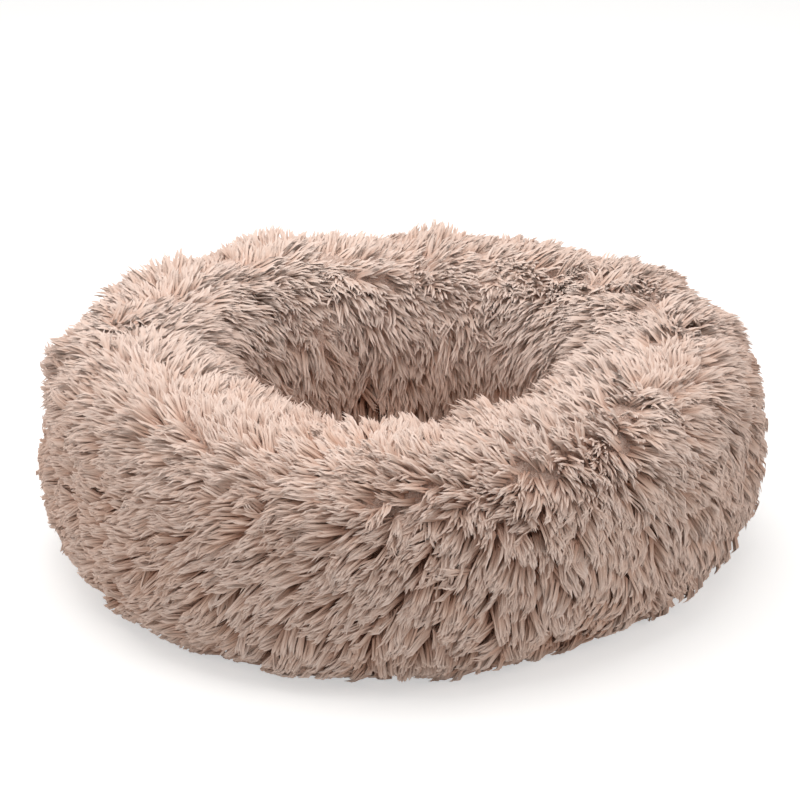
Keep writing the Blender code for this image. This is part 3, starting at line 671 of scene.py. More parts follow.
def strand_lines():
    """Centre lines of all the strands, four points each. A strand starts in the backing near its
    lock's root and bends over, and its tip is drawn most of the way to its lock's. A tuft raises
    it off the backing by a share of its own height."""
    loose = per_strand(looseness)[:, None]
    offset = LOCK_SPREAD * (1 + SPREAD_LOOSE * loose) * rng.normal(size=(STRANDS, 2))
    radius = per_strand(np.interp(lock_along, PROFILE_ALONG, PROFILE_RADIUS))
    around = per_strand(lock_around) + np.degrees(offset[:, 0] / radius)
    root = backing(around, np.clip(per_strand(lock_along) + offset[:, 1], 0, NEST_MIDDLE))
    normal, heading = per_strand(lock_normal), per_strand(lock_heading)
    across = per_strand(np.cross(lock_normal, lock_heading))
    reach, lift = per_strand(lock_length)[:, None], per_strand(lock_lift)
    start = CONTROL_SHARE * (np.sin(lift) * normal + np.cos(lift) * heading)
    control = root + reach * (start + per_strand(lock_bend) * across)
    tip = per_strand(lock_tip) + (OWN_TIP + OWN_TIP_LOOSE * loose) * (root - per_strand(lock_root))
    tip = tip + (TIP_SCATTER + TIP_SCATTER_LOOSE * loose) * reach * rng.normal(size=(STRANDS, 3))
    tip = tip + heading * reach * TIP_AHEAD * rng.normal(size=(STRANDS, 1))
    foot = root - ROOT_DEPTH * normal
    points = np.stack([bezier(foot, control, tip, share) for share in SPIKE_SHARES], 1)
    crimp = STRAND_CRIMP * rng.normal(size=(STRANDS, 4, 1))
    crimp = crimp + per_strand(LOCK_CRIMP * rng.normal(size=(LOCKS, 4, 1)))
    points = points + crimp * across[:, None] * CRIMP_SHARES
    stretch = per_strand(tufted(lock_around, lock_along) / PILE)[:, None, None]
    raised = ((points - root[:, None]) * normal[:, None]).sum(-1, keepdims=True)
    return points + stretch * raised * normal[:, None]


lines = strand_lines()
print("strands:", len(lines))

# %% Room, thickness and tone
ALLOWED, CLUMP_ALLOWED, LOCK_ALLOWED = 0.5, 2.6, 1.5
ALLOWED_LEAST, ALLOWED_MOST = -8, 6
TUCKED_IN, TUCKED_BY = ((-57, 10), (-147, 12)), 5
STRAND_RADIUS, RADIUS_LOOSE = 1.05 * MM, 0.25
RADIUS_SPREAD, RADIUS_RANGE = 0.18, (0.5, 1.5)
FLOOR_CLEARANCE, FLOOR_UNEVEN = 0.3 * MM, 1.5 * MM
CLUMP_TONE, LOCK_TONE, STRAND_TONE = 0.10, 0.16, 0.08
TONE, TONE_LOOSE_PAINTED_LIGHT, LOOSE_TONES_LESS = 0.46, 0.40, 0.6
TONE_MARGIN = 0.02

allowed = ALLOWED + scattered(CLUMP_ALLOWED, LOCK_ALLOWED)
for middle, spread in TUCKED_IN:
    allowed = allowed - TUCKED_BY * bell(wrapped(lock_around - middle), spread)
lines = tucked(lines, per_strand(allowed.clip(ALLOWED_LEAST, ALLOWED_MOST))[:, None] * MM)
loosenesses = per_strand(looseness)
uneven = (1 + RADIUS_SPREAD * rng.normal(size=STRANDS)).clip(*RADIUS_RANGE)
radii = STRAND_RADIUS * (1 + RADIUS_LOOSE * loosenesses) * uneven
floor = FLOOR_CLEARANCE + radii[:, None] + FLOOR_UNEVEN * rng.random((STRANDS, 1))
lines[:, :, 2] = np.maximum(lines[:, :, 2], floor)
lock_tone = (1 - LOOSE_TONES_LESS * looseness) * scattered(CLUMP_TONE, LOCK_TONE)
# Loose pile gets a paler tone, which is painted light over its shaded gaps. The rest of the tone
# differs at random by clump, lock and strand.
tones = per_strand(TONE + TONE_LOOSE_PAINTED_LIGHT * looseness + lock_tone)
tones = np.clip(tones + STRAND_TONE * rng.normal(size=STRANDS), TONE_MARGIN, 1 - TONE_MARGIN)
strand_normals, strand_around, strand_along = (
    per_strand(values) for values in (lock_normal, lock_around, lock_along)
)
print("mean thickness %.2f mm" % (2 * radii.mean() / MM))

# %% [markdown]
# ## From centre lines to meshes
#
# Each centre line carries three triangular rings and a point. All strands of a piece are worked
# out at once, as one array. The texture map puts a strand's length on v and its tone on u, so
# the colour is a matter of the map alone, and a baked picture of it serves every strand.

# %% Meshes from arrays
def mesh_from_arrays(name, points, faces, uv=None, normals=None, map_name="OFBake"):
    """A smooth mesh object from an array of points and one of faces, with a texture map given
    for each corner and a shading normal for each point."""
    mesh = bpy.data.meshes.new(name)
    mesh.vertices.add(len(points))
    mesh.vertices.foreach_set("co", np.ascontiguousarray(points, np.float32).ravel())
    mesh.loops.add(faces.size)
    mesh.loops.foreach_set("vertex_index", np.ascontiguousarray(faces, np.int32).ravel())
    mesh.polygons.add(len(faces))
    mesh.polygons.foreach_set("loop_start", np.arange(0, faces.size, faces.shape[1], dtype=np.int32))
    if uv is not None:
        layer = mesh.uv_layers.new(name=map_name)
        layer.data.foreach_set("uv", np.ascontiguousarray(uv, np.float32).ravel())
    mesh.update(calc_edges=True)
    mesh.shade_smooth()
    if normals is not None:
        mesh.normals_split_custom_set_from_vertices(normals)
    obj = bpy.data.objects.new(name, mesh)
    bpy.context.scene.collection.objects.link(obj)
    return obj


def declared(obj, material, nodes):
    obj.data.materials.append(material)
    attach(obj, "root")
    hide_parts(*nodes)
    return obj


# %% Spikes
SPIKE_THICKNESS = np.array([0.8, 1.0, 0.88])[None, :, None, None]
TONE_COLUMNS = 16
COLUMN_MARGIN, LENGTH_MARGIN = 0.2, 0.02
SOFT_SHADING, LOOSE_SOFT_SHADING = 0.65, 0.92


def spike_faces():
    """Triangles of one spike over ten points: a closed foot, two bands and a point."""
    faces = [(0, 2, 1)]
    for ring in (0, 3):
        for i in range(3):
            a, b = ring + i, ring + (i + 1) % 3
            faces += [(a, b, b + 3), (a, b + 3, a + 3)]
    return np.array(faces + [(6 + i, 6 + (i + 1) % 3, 9) for i in range(3)])


def spikes(name, lines, normals, radii, tones, loose):
    """Strands as closed spikes. At each of the first three points of a line stands a triangle
    of corners a third of a turn apart, square to the line, and the last point is the tip. The
    shading leans from the spike's own round towards the backing's normal, as in soft pile."""
    count = len(lines)
    tangent = unit(np.gradient(lines, axis=1))
    side = unit(np.cross(tangent, normals[:, None, :]))
    other = np.cross(tangent, side)
    turn = (rng.uniform(0, 2 * np.pi, (count, 1)) + np.arange(3) * 2 * np.pi / 3)[:, None, :, None]
    wheel = np.cos(turn) * side[:, :3, None] + np.sin(turn) * other[:, :3, None]
    rings = lines[:, :3, None] + radii[:, None, None, None] * SPIKE_THICKNESS * wheel
    points = np.concatenate([rings.reshape(count, 9, 3), lines[:, 3:4]], 1).reshape(-1, 3)
    faces = spike_faces()
    triangles = (np.arange(count)[:, None, None] * 10 + faces).reshape(-1, 3)
    corner_v = np.repeat(SPIKE_SHARES, 3)[:10]
    corner_u = np.array([0, 0.5, 1] * 3 + [0.5])
    column = np.floor(tones * TONE_COLUMNS)[:, None, None]
    u = (column + COLUMN_MARGIN + (1 - 2 * COLUMN_MARGIN) * corner_u[faces][None]) / TONE_COLUMNS
    v = np.broadcast_to(LENGTH_MARGIN + (1 - 2 * LENGTH_MARGIN) * corner_v[faces][None], u.shape)
    around_wheel = np.concatenate([wheel.reshape(count, 9, 3), tangent[:, 3:4]], 1)
    share = (SOFT_SHADING + (LOOSE_SOFT_SHADING - SOFT_SHADING) * loose)[:, None, None]
    soft = unit(share * normals[:, None] + (1 - share) * around_wheel).reshape(-1, 3)
    return mesh_from_arrays(name, points, triangles, np.stack([u, v], -1).reshape(-1, 2), soft)


# %% [markdown]
# ## The pile's finish
#
# The pile is crimped polyester fibre, matt with a faint warm sheen. It is dyed one taupe. The
# roots sit in the others' shadow and the split, brushed tips catch the light, and both are painted
# into the colour: it runs along the strand from a brown root, painted shade, to a pale pinkish tip,
# painted light. Each strand is also a little darker or lighter than its neighbours.

# %% Pile material
# Along both ramps the dark root is painted shade and the pale tip painted light. The pale ramp, which
# paler tones lean to, has a lighter root: painted light in the shaded gaps.
DEEP_PAINTED_SHADE_STOPS = ((0.0, "#8A4E34"), (0.35, "#AD7B62"), (0.7, "#D0AC97"), (1.0, "#EFD4C5"))
PALE_PAINTED_LIGHT_STOPS = ((0.0, "#DDAE95"), (0.35, "#E6C2AE"), (0.7, "#EED4C5"), (1.0, "#F8E5DA"))
plush_material, tree, shader = new_material(
    "crimped polyester pile",
    Roughness=0.72,
    Sheen_Weight=0.5,
    Sheen_Roughness=0.45,
    Sheen_Tint=linear("#D9A48A"),
)
strand_map = add_node(tree, "UVMap", {"uv_map": "OFBake"}).outputs[0]
split = add_node(tree, "SeparateXYZ", _0=strand_map)
deep, pale = (colour_ramp(tree, split.outputs["Y"], stops) for stops in (DEEP_PAINTED_SHADE_STOPS, PALE_PAINTED_LIGHT_STOPS))
tone_mix = add_node(tree, "Mix", {"data_type": "RGBA"}, _0=split.outputs["X"], _6=deep, _7=pale)
tree.links.new(tone_mix.outputs[2], shader.inputs["Base Color"])


# %% Make the pile pieces
def add_pile(name, chosen, nodes):
    """One piece of pile on the root body, standing for the plush nodes that it covers."""
    kept = (values[chosen] for values in (lines, strand_normals, radii, tones, loosenesses))
    obj = declared(spikes(name, *kept), plush_material, nodes)
    print("%s: %d strands, %d triangles" % (name, chosen.sum(), len(obj.data.polygons)))


outer = strand_along < CREST_SEAM
nest = strand_along > NEST_SEAM
for sectors, where, label in ((6, outer, "outer"), (4, ~outer & ~nest, "inner")):
    for k in range(sectors):
        low, high = (-180 + 360 * edge / sectors for edge in (k, k + 1))
        chosen = where & (wrapped(strand_around) >= low) & (wrapped(strand_around) < high)
        nodes = [label + "_plush_front"] * (low < 0) + [label + "_plush_back"] * (high > 0)
        add_pile("%s_pile_%d" % (label, k + 1), chosen, nodes)
add_pile("nest_pile", nest, ["nest_plush"])

# %% [markdown]
# ## Cloth as a shell between two grids
#
# Every cloth of the cover is cut flat, sewn and then held in its shape. Each is one grid of points
# for its face and one for its back, joined along their edges, so that the cloth is a closed shell
# as thick as the real one. A texture map in metres follows the cloth, which keeps the threads the
# same size wherever the surface turns. The shell's own measures give the size that it was cut to.

# %% Shells
def grid_quads(index):
    """Quads of a grid of point numbers, each from a point to its three neighbours ahead."""
    corners = [index[:-1, :-1], index[1:, :-1], index[1:, 1:], index[:-1, 1:]]
    return np.stack(corners, -1).reshape(-1, 4)


def edge_quads(face, back):
    """A strip of quads from a row of point numbers on the face to the same row on the back."""
    return np.stack([face[:-1], face[1:], back[1:], back[:-1]], -1)


def closed_ring(face, goes_round):
    """A grid's rows, with the first one again at the end if it goes round."""
    return np.concatenate([face, face[:1]]) if goes_round else face


def steps_of(ring):
    """Lengths of the steps from row to row, and from column to column."""
    return [np.linalg.norm(np.diff(ring, axis=axis), axis=2) for axis in (0, 1)]


def shell(face, back, goes_round):
    """Points, quads and texture map of a closed shell. The map's coordinates are the mean lengths
    walked along the grid's two directions, in metres. A shell that goes round joins its last row
    to its first, and its map runs on over the join."""
    rows, columns = face.shape[:2]
    last = rows + goes_round
    front = np.arange(last * columns).reshape(last, columns)
    rear = front + front.size
    sides = [edge_quads(front[::-1, 0], rear[::-1, 0]), edge_quads(front[:, -1], rear[:, -1])]
    if not goes_round:
        sides += [edge_quads(front[0], rear[0]), edge_quads(front[-1, ::-1], rear[-1, ::-1])]
    quads = np.concatenate([grid_quads(front), grid_quads(rear)[:, ::-1], *sides])
    number = (quads % front.size) // columns % rows * columns + quads % columns
    number = number + np.where(quads >= front.size, rows * columns, 0)
    steps = steps_of(closed_ring(face, goes_round))
    u, v = (summed(lengths.mean(1 - axis)) for axis, lengths in enumerate(steps))
    cloth_map = np.stack(np.meshgrid(u, v, indexing="ij"), -1).reshape(-1, 2)
    points = np.concatenate([face.reshape(-1, 3), back.reshape(-1, 3)])
    return points, number, cloth_map[quads % front.size].reshape(-1, 2)


# %% Cloth pieces
NARROWEST_CUT = 10 * MM


def cloth_mesh(name, grids, goes_round):
    """The shell between two grids, as a mesh object."""
    points, quads, cloth_map = shell(*grids, goes_round)
    obj = mesh_from_arrays(name, points, quads, cloth_map, map_name="cloth")
    print("%s: %d triangles" % (name, 2 * len(quads)))
    return obj


def cloth_piece(name, grids, material, nodes, slot, held, goes_round=False, **contact):
    """A shell as a piece on the root body. Its cut is worked out as wide and long as the longest
    lines of its grid, or as a narrow tape with its turned edges."""
    obj = declared(cloth_mesh(name, grids, goes_round), material, nodes)
    ring = closed_ring(grids[0], goes_round)
    cut = [lengths.sum(axis).max() for axis, lengths in enumerate(steps_of(ring))]
    cut = np.maximum(cut, NARROWEST_CUT)
    return obj


# %% Woven cloth
CLOUD_SCALE, CLOUD_SHARE = 40.0, 0.5
WEAVE_PLACES = (0.15, 0.75, 1.3 / 1.5)
WEAVE_BUMP = 0.6


def threads(tree, spacing):
    """Two crossing rows of threads from the cloth's own map: a sine of each coordinate, with the
    real spacing as its wavelength, and their product, which is high where a thread lies on top."""
    place = add_node(tree, "SeparateXYZ", _0=add_node(tree, "UVMap", {"uv_map": "cloth"}).outputs[0])
    rows = []
    for axis, wavelength in zip("XY", spacing):
        angle = math_node(tree, "MULTIPLY", place.outputs[axis], 2 * math.pi / wavelength)
        rows.append(math_node(tree, "SINE", angle))
    return math_node(tree, "MULTIPLY", *rows)


def woven(name, colours, spacing, relief, roughness):
    """A woven cloth: its threads are painted darker where they dive, which is painted shade in the
    hollows of the weave, a slow cloudiness makes the dye uneven, and the crossings stand up by the
    given relief."""
    material, tree, shader = new_material(
        name, Roughness=roughness, Sheen_Weight=0.15, Sheen_Roughness=0.5
    )
    crossing = threads(tree, spacing)
    cloud = pattern(tree, Scale=CLOUD_SCALE, Detail=3.0)
    # Where a thread dives, the ramp's darkest colour is painted shade.
    level = add_node(tree, "MapRange", _0=crossing, _1=-1.0, _2=1.0).outputs[0]
    mixed = math_node(tree, "MULTIPLY_ADD", cloud, CLOUD_SHARE, level)
    dress(tree, shader, mixed, tuple(zip(WEAVE_PLACES, colours)), crossing, relief, WEAVE_BUMP)
    return material


# %% [markdown]
# ## The knitted backing
#
# Under the pile lies the knit that holds it. Only glimpses of it show, between clumps, but they
# have to be dark and closed. It is dyed with the pile, and its darkness is painted shade: it takes
# the dark brown of the pile's shaded roots. Its loops show as fine ribs, which are drawn a little
# coarser than the real ones, at 2 mm.

# %% Backing shells
BACKING_THICKNESS = 1.5 * MM
BACKING_AROUND = 144
# The knit's dark browns are painted shade, the colour of the pile's shaded roots.
KNIT_SHADE_COLOURS = ("#59402F", "#785645", "#8C6853")
knit_material = woven("polyester knit in painted shade", KNIT_SHADE_COLOURS, (2 * MM, 2.4 * MM), 0.3 * MM, 0.95)


def band(around, along):
    """Points and normals of the backing over a grid of angles and lengths."""
    a, s = (grid.ravel() for grid in np.meshgrid(around, along, indexing="ij"))
    return surface_frame(a, s)[:2]


def backing_grids(low, high, steps):
    """The backing between two lengths along the profile, and the same set in along its normals."""
    point, normal = band(all_round(BACKING_AROUND), np.linspace(low, high, steps))
    sides = (point, point - BACKING_THICKNESS * normal)
    return [side.reshape(BACKING_AROUND, steps, 3) for side in sides]


for label, low, high, steps, nodes in (
    ("outer", 0, CREST_SEAM, 32, ("outer_plush_front", "outer_plush_back")),
    ("inner", CREST_SEAM, NEST_SEAM, 30, ("inner_plush_front", "inner_plush_back")),
    ("nest", NEST_SEAM, NEST_MIDDLE, 20, ("nest_plush",)),
):
    grown = [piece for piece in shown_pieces() if piece.name.startswith(label + "_pile")]
    cloth_piece(
        label + "_backing", backing_grids(low, high, steps), knit_material, nodes, "plush",
        "stretched", goes_round=True, rests_on=["ring_liner", "pad_liner"], with_pieces=grown,
    )

# %% [markdown]
# ## The underfur
#
# Where the pile is brushed loose, over the crest, its shorter fibres mat together half way up, and
# the gaps between locks are shallow and pale. Ever more strands could fill them, but a closed
# cushion under the strands does the same: a shell on the backing that rises along the parting
# and fades out at both edges, with a fibrous finish in the pile's own middle colours. In front,
# where the clumps have stayed, it is lower.

# %% Underfur
UNDERFUR_AROUND, UNDERFUR_STEPS = 180, 38
UNDERFUR_LOW, UNDERFUR_HIGH, UNDERFUR_FADE = -55 * MM, 125 * MM, 40 * MM
UNDERFUR_RISE = 11 * MM
UNDERFUR_WAVE = 0.22
FRONT_LOWER, FRONT_LOWER_SPREAD = 0.45, 65
UNDERFUR_FACE, UNDERFUR_BACK = 0.2 * MM, 0.1 * MM
SEAM_CREEP = 0.01
underfur_material = noisy(
    "matted polyester underfur",
    {"Scale": 260.0, "Detail": 5.0, "Distortion": 2.0},
    ((0.3, "#A98775"), (0.5, "#CBAE9F"), (0.7, "#E2CBBF")),
    1.5 * MM, 0.8, Roughness=0.9, Sheen_Weight=0.3,
)


def underfur_grids():
    """The underfur's face and its back on the backing, over a band on both sides of the parting.
    Its height is a smooth step from each edge, made uneven by short waves, and lower in front."""
    around = all_round(UNDERFUR_AROUND)
    offset = np.linspace(UNDERFUR_LOW, UNDERFUR_HIGH, UNDERFUR_STEPS)
    a, s = (grid.ravel() for grid in np.meshgrid(around, offset, indexing="ij"))
    along = np.minimum(ridge_at(a) + s, NEST_SEAM + SEAM_CREEP * s)
    point, normal = surface_frame(a, along)[:2]
    edge = np.clip(np.minimum(s - UNDERFUR_LOW, UNDERFUR_HIGH - s) / UNDERFUR_FADE, 0, 1)
    height = UNDERFUR_RISE * smooth_step(edge) * (1 + UNDERFUR_WAVE * waves(point, 13 * MM, 41))
    height = height * (1 - FRONT_LOWER * bell(wrapped(a - FRONT_MIDDLE), FRONT_LOWER_SPREAD))
    sides = (point + (height + UNDERFUR_FACE)[:, None] * normal, point + UNDERFUR_BACK * normal)
    return [side.reshape(UNDERFUR_AROUND, UNDERFUR_STEPS, 3) for side in sides]


declared(
    cloth_mesh("underfur", underfur_grids(), True), underfur_material,
    ("inner_plush_front", "inner_plush_back"),
)

# %% [markdown]
# ## The base
#
# The bed stands on a woven polyester cloth, turned up a little under the ring, with a window for
# the zip. Small soft dots are printed on it so that it doesn't slip. The cloth could be a disc
# with a hole cut in it, but here each thread of its grid starts on the window's edge and ends at
# the ring, so the hole needs no cutting. The dots are domes, one small shape repeated.

# %% Layers and the zip's measures
TOUCH_GAP = 0.4 * MM
BASE_CLOTH, BINDING_CLOTH, LABEL_CLOTH = 1.2 * MM, 1.2 * MM, 0.5 * MM
BASE_UNDERSIDE = np.array([PILE + TOUCH_GAP, PILE + TOUCH_GAP, 0.0])
ZIP_PLACE = np.array([0, 55 * MM, 6.2 * MM])
WINDOW_HALF = np.array([180, 16]) * MM
FACING_CLOTH, FACING_FLANGE = 0.8 * MM, 10 * MM
SLOT_HALF = np.array([166, 8]) * MM
DOT_HEIGHT, DOT_SINK = 0.55 * MM, 0.1 * MM
BASE_FACE = DOT_HEIGHT - DOT_SINK


def box_edge(around, half, height=0.0):
    """A point of a rectangle's edge round the zip's middle: a circle through its corners, with
    each coordinate clipped to the rectangle's half size."""
    a = np.radians(around)
    x = ZIP_PLACE[0] + half[0] * np.clip(np.sqrt(2) * np.cos(a), -1, 1)
    y = ZIP_PLACE[1] + half[1] * np.clip(np.sqrt(2) * np.sin(a), -1, 1)
    return np.stack(np.broadcast_arrays(x, y, height), -1)


# %% Base cloth
BASE_AROUND, BASE_FLAT_STEPS, BASE_RIM_STEPS = 240, 12, 8
BASE_END_TURN = BASE_SEAM_TURN - 0.3
BASE_COLOURS = ("#2C2826", "#4C4743", "#5E5853")
oxford_material = woven(
    "woven polyester base cloth", BASE_COLOURS, (1.8 * MM, 1.8 * MM), 0.25 * MM, 0.85
)


def base_grid(lift, inset):
    """One side of the base: straight threads from the window's edge to the floor ring, with this
    lift, then the ring's section at this inset up to the seam."""
    around = all_round(BASE_AROUND)[:, None]
    rim = shaped(*section(np.linspace(-90, BASE_END_TURN, BASE_RIM_STEPS), inset), around)
    rim[:, :, 2] = np.maximum(rim[:, :, 2], lift)
    share = np.linspace(0, 1, BASE_FLAT_STEPS, endpoint=False)[None, :, None]
    edge = box_edge(around, WINDOW_HALF, lift)
    return np.concatenate([edge * (1 - share) + rim[:, :1] * share, rim], 1)


cloth_piece(
    "base_cloth",
    (base_grid(BASE_FACE, BASE_UNDERSIDE), base_grid(BASE_CLOTH, BASE_UNDERSIDE + BASE_CLOTH)),
    oxford_material, ("base_panel",), "base_cloth", "stretched",
    goes_round=True, rests_on=["ring_liner", "pad_liner"],
)


# %% Small repeated shapes
def bead_faces(rings, sides):
    """Triangles of a closed bead: a fan at each pole, and two between each pair of neighbours on
    adjoining rings."""
    faces = []
    last = 1 + (rings - 1) * sides
    for i in range(sides):
        j = (i + 1) % sides
        faces += [(0, 1 + j, 1 + i), (last + i, last + j, last + sides)]
        for a, b in ((1 + i + k * sides, 1 + j + k * sides) for k in range(rings - 1)):
            faces += [(a, b, b + sides), (a, b + sides, a + sides)]
    return np.array(faces)


def beads(name, places, frames, poles, rings, sides, material, nodes):
    """One bead at many places. A ring is its half width along the first two axes of the bead's
    frame and its height along the third, and a pole is a height."""
    turn = np.arange(sides) * 2 * np.pi / sides
    wheel = np.stack([np.cos(turn), np.sin(turn)], -1)
    local = [np.c_[wheel * ring[:2], np.full(sides, ring[2])] for ring in rings]
    local = np.concatenate([[(0, 0, poles[0])], *local, [(0, 0, poles[1])]])
    points = places[:, None] + local @ frames
    faces = bead_faces(len(rings), sides)
    triangles = np.arange(len(places))[:, None, None] * len(local) + faces
    obj = mesh_from_arrays(name, points.reshape(-1, 3), triangles.reshape(-1, 3))
    print("%s: %d beads of %d triangles" % (name, len(places), len(faces)))
    return declared(obj, material, nodes)


# %% Grip dots
DOT_RADIUS, DOT_PITCH = 1.6 * MM, 12 * MM
DOT_ROOM = 9 * MM
DOT_SIDES = 8
DOT_SHOULDER, DOT_SHOULDER_HEIGHT = 0.7, 0.75
DOWNWARDS = np.array([[1.0, 0, 0], [0, -1, 0], [0, 0, -1]])
vinyl_material = noisy(
    "printed soft vinyl dots", {"Scale": 900.0, "Detail": 2.0},
    ((0.3, "#1E1C1B"), (0.7, "#34302E")), 0.05 * MM, 0.5, Roughness=0.5, Specular_IOR_Level=0.4,
)


def dot_places():
    """A hexagonal lattice on the base's flat part, short of its rim and clear of the zip."""
    count = int(RING_RADIUS / DOT_PITCH) + 3
    i, j = (grid.ravel() for grid in np.meshgrid(*[np.arange(-count, count + 1)] * 2))
    x, y = DOT_PITCH * (i + j / 2), DOT_PITCH * math.sqrt(0.75) * j
    around = np.degrees(np.arctan2(y + CENTRE_Y, x + CENTRE_X))
    room = stretched(RING_RADIUS, 0, around) - DOT_ROOM
    beyond = np.abs(np.stack([x, y], -1) - ZIP_PLACE[:2]) - WINDOW_HALF - FACING_FLANGE
    chosen = (np.hypot(x + CENTRE_X, y + CENTRE_Y) < room) & (beyond.max(1) > DOT_RADIUS)
    return np.stack([x, y, np.full(len(x), DOT_HEIGHT)], -1)[chosen]


dots = dot_places()
shoulder = DOT_SHOULDER * DOT_RADIUS
beads(
    "grip_dots", dots, np.broadcast_to(DOWNWARDS, (len(dots), 3, 3)), (-DOT_SINK, DOT_HEIGHT),
    [(DOT_RADIUS, DOT_RADIUS, 0), (shoulder, shoulder, DOT_SHOULDER_HEIGHT * DOT_HEIGHT)],
    DOT_SIDES, vinyl_material, ("base_panel",),
)

# %% [markdown]
# ## Binding, label and thread
#
# The raw edges of the base and the plush are covered by a folded tape, and a blank satin label is
# caught in the seam at the back. Tape and base are sewn with a lockstitch, of which each visible
# stitch is a short bead of thread, half sunk in the cloth.

# %% Binding tape
BINDING_TURN, BINDING_STEPS = 7.5, 6
SEAM_AROUND = 360
BINDING_CROWN = 0.35 * MM
BINDING_COLOURS = ("#262221", "#3E3936", "#4C4643")
tape_material = woven(
    "folded polyester tape", BINDING_COLOURS, (1.5 * MM, 2.2 * MM), 0.25 * MM, 0.85
)


def binding_side(depth, crown):
    """One side of the tape, this far outside the base cloth: highest along its middle, and
    drawn in to its folded edges by a parabola."""
    across = np.linspace(-1, 1, BINDING_STEPS)
    turn = np.linspace(BASE_END_TURN - BINDING_TURN, BASE_END_TURN, BINDING_STEPS)
    inset = BASE_UNDERSIDE[:, None] - TOUCH_GAP - depth + crown * across**2
    return shaped(*section(turn, inset), all_round(SEAM_AROUND)[:, None])


binding_face, binding_back = binding_side(BINDING_CLOTH, BINDING_CROWN), binding_side(0, 0)
cloth_piece(
    "binding", (binding_face, binding_back), tape_material, ("base_binding",), "binding_tape",
    "stretched", goes_round=True, rests_on=["base_cloth"],
)

# %% Satin label
LABEL_STEPS = 28
LABEL_WAVE, WAVE_AROUND, WAVE_DOWN = 1.2 * MM, 90, 120
SATIN_COLOURS = ("#DCD7CD", "#EDEAE4", "#F5F3EE")
satin_material = woven("blank satin ribbon", SATIN_COLOURS, (0.9 * MM, 4 * MM), 0.05 * MM, 0.38)


def label_side(depth):
    """One side of the label, which follows the plush and lifts off it in two soft waves."""
    sides = (LABEL_ANGLE - LABEL_HALF_ANGLE, LABEL_ANGLE + LABEL_HALF_ANGLE)
    around = np.linspace(*sides, LABEL_STEPS)[:, None]
    turn = np.linspace(BASE_SEAM_TURN, BASE_SEAM_TURN + LABEL_TURN, LABEL_STEPS)[None]
    hung = (turn - BASE_SEAM_TURN) / LABEL_TURN
    wave = LABEL_WAVE * hung * (1 + np.sin(np.radians(around * WAVE_AROUND + WAVE_DOWN * hung)))
    lifted = -TOUCH_GAP - depth - wave
    return shaped(*section(turn, (lifted, lifted, lifted)), around)


cloth_piece(
    "label", (label_side(LABEL_CLOTH), label_side(0)), satin_material, ("care_label",),
    "label_satin", "hung", rests_on=["binding", "outer_backing"],
)

# %% Stitches
STITCH_PITCH, STITCH_HALF, THREAD_HALF = 4 * MM, 1.5 * MM, 0.28 * MM
STITCH_SIDES = 6
STITCH_RINGS = [
    (STITCH_HALF, THREAD_HALF, -0.2 * THREAD_HALF),
    (0.7 * STITCH_HALF, 0.8 * THREAD_HALF, 0.7 * THREAD_HALF),
]
thread_material, tree, shader = new_material(
    "twisted polyester thread", Roughness=0.55, Sheen_Weight=0.2, Sheen_Roughness=0.4
)
# The diagonal bands of the twist are painted light and shade on the thread's plies.
twist = pattern(tree, "TexWave", {"bands_direction": "DIAGONAL"}, output=1, Scale=600.0)
dress(tree, shader, twist, ((0.0, "#2E2A28"), (1.0, "#5A534F")))


def stitch_row(name, path, outward, nodes):
    """Stitches at even steps along a closed path. Each lies along the path's tangent, with its
    crown towards the outward direction there."""
    ring = np.concatenate([path, path[:1]])
    walked = summed(np.linalg.norm(np.diff(ring, axis=0), axis=1))
    count = int(walked[-1] / STITCH_PITCH)
    at = np.arange(count) * walked[-1] / count
    place, ahead = (
        np.stack([np.interp(s % walked[-1], walked, ring[:, k]) for k in range(3)], -1)
        for s in (at, at + STITCH_HALF)
    )
    crown = np.stack([np.interp(at, walked[:-1], outward[:, k]) for k in range(3)], -1)
    tangent = unit(ahead - place)
    side = unit(np.cross(crown, tangent))
    frames = np.stack([tangent, side, np.cross(tangent, side)], 1)
    poles = (-THREAD_HALF, THREAD_HALF)
    beads(name, place, frames, poles, STITCH_RINGS, STITCH_SIDES, thread_material, nodes)


# %% Sew the seams
WINDOW_EDGE_STEPS = 720
WINDOW_ROWS = (2.5 * MM, 8 * MM)
seam_path = (binding_face[:, 2] + binding_face[:, 3]) / 2
seam_out = unit(binding_face[:, 2] - binding_back[:, 2])
stitch_row("binding_stitches", seam_path, seam_out, ("base_binding",))
for k, distance in enumerate(WINDOW_ROWS):
    row = box_edge(all_round(WINDOW_EDGE_STEPS), WINDOW_HALF + distance, BASE_FACE)
    down = np.broadcast_to(DOWNWARDS[2], row.shape)
    stitch_row("window_stitches_%d" % (k + 1), row, down, ("base_panel",))

# %% [markdown]
# ## The zip
#
# The zip is set up into the base by a facing, so that nothing hard touches the floor. Its tapes are
# woven in a herringbone, its teeth are moulded in acetal, its stops are zinc-plated steel, and the
# slider and its pull are lacquered zinc castings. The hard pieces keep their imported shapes, which
# are fine enough, and only get their finish, so that they move and meet exactly as the solids do.

# %% Facing
FACING_AROUND = 240
LIP_HEIGHT, FACING_FLOOR = 5.6 * MM, BASE_CLOTH + TOUCH_GAP
FACING_OUT = np.array([-1.0, -0.5, -0.08, 0.0, 0.0, 0.0, 0.05, 0.5, 1.0])
FACING_RISE = np.array([1.0, 1.0, 1.0, 0.85, 0.5, 0.15, 0.0, 0.0, 0.0])
FACING_COLOURS = ("#292523", "#413D3A", "#524D49")
lining_material = woven(
    "cut polyester facing", FACING_COLOURS, (1.5 * MM, 1.5 * MM), 0.2 * MM, 0.85
)


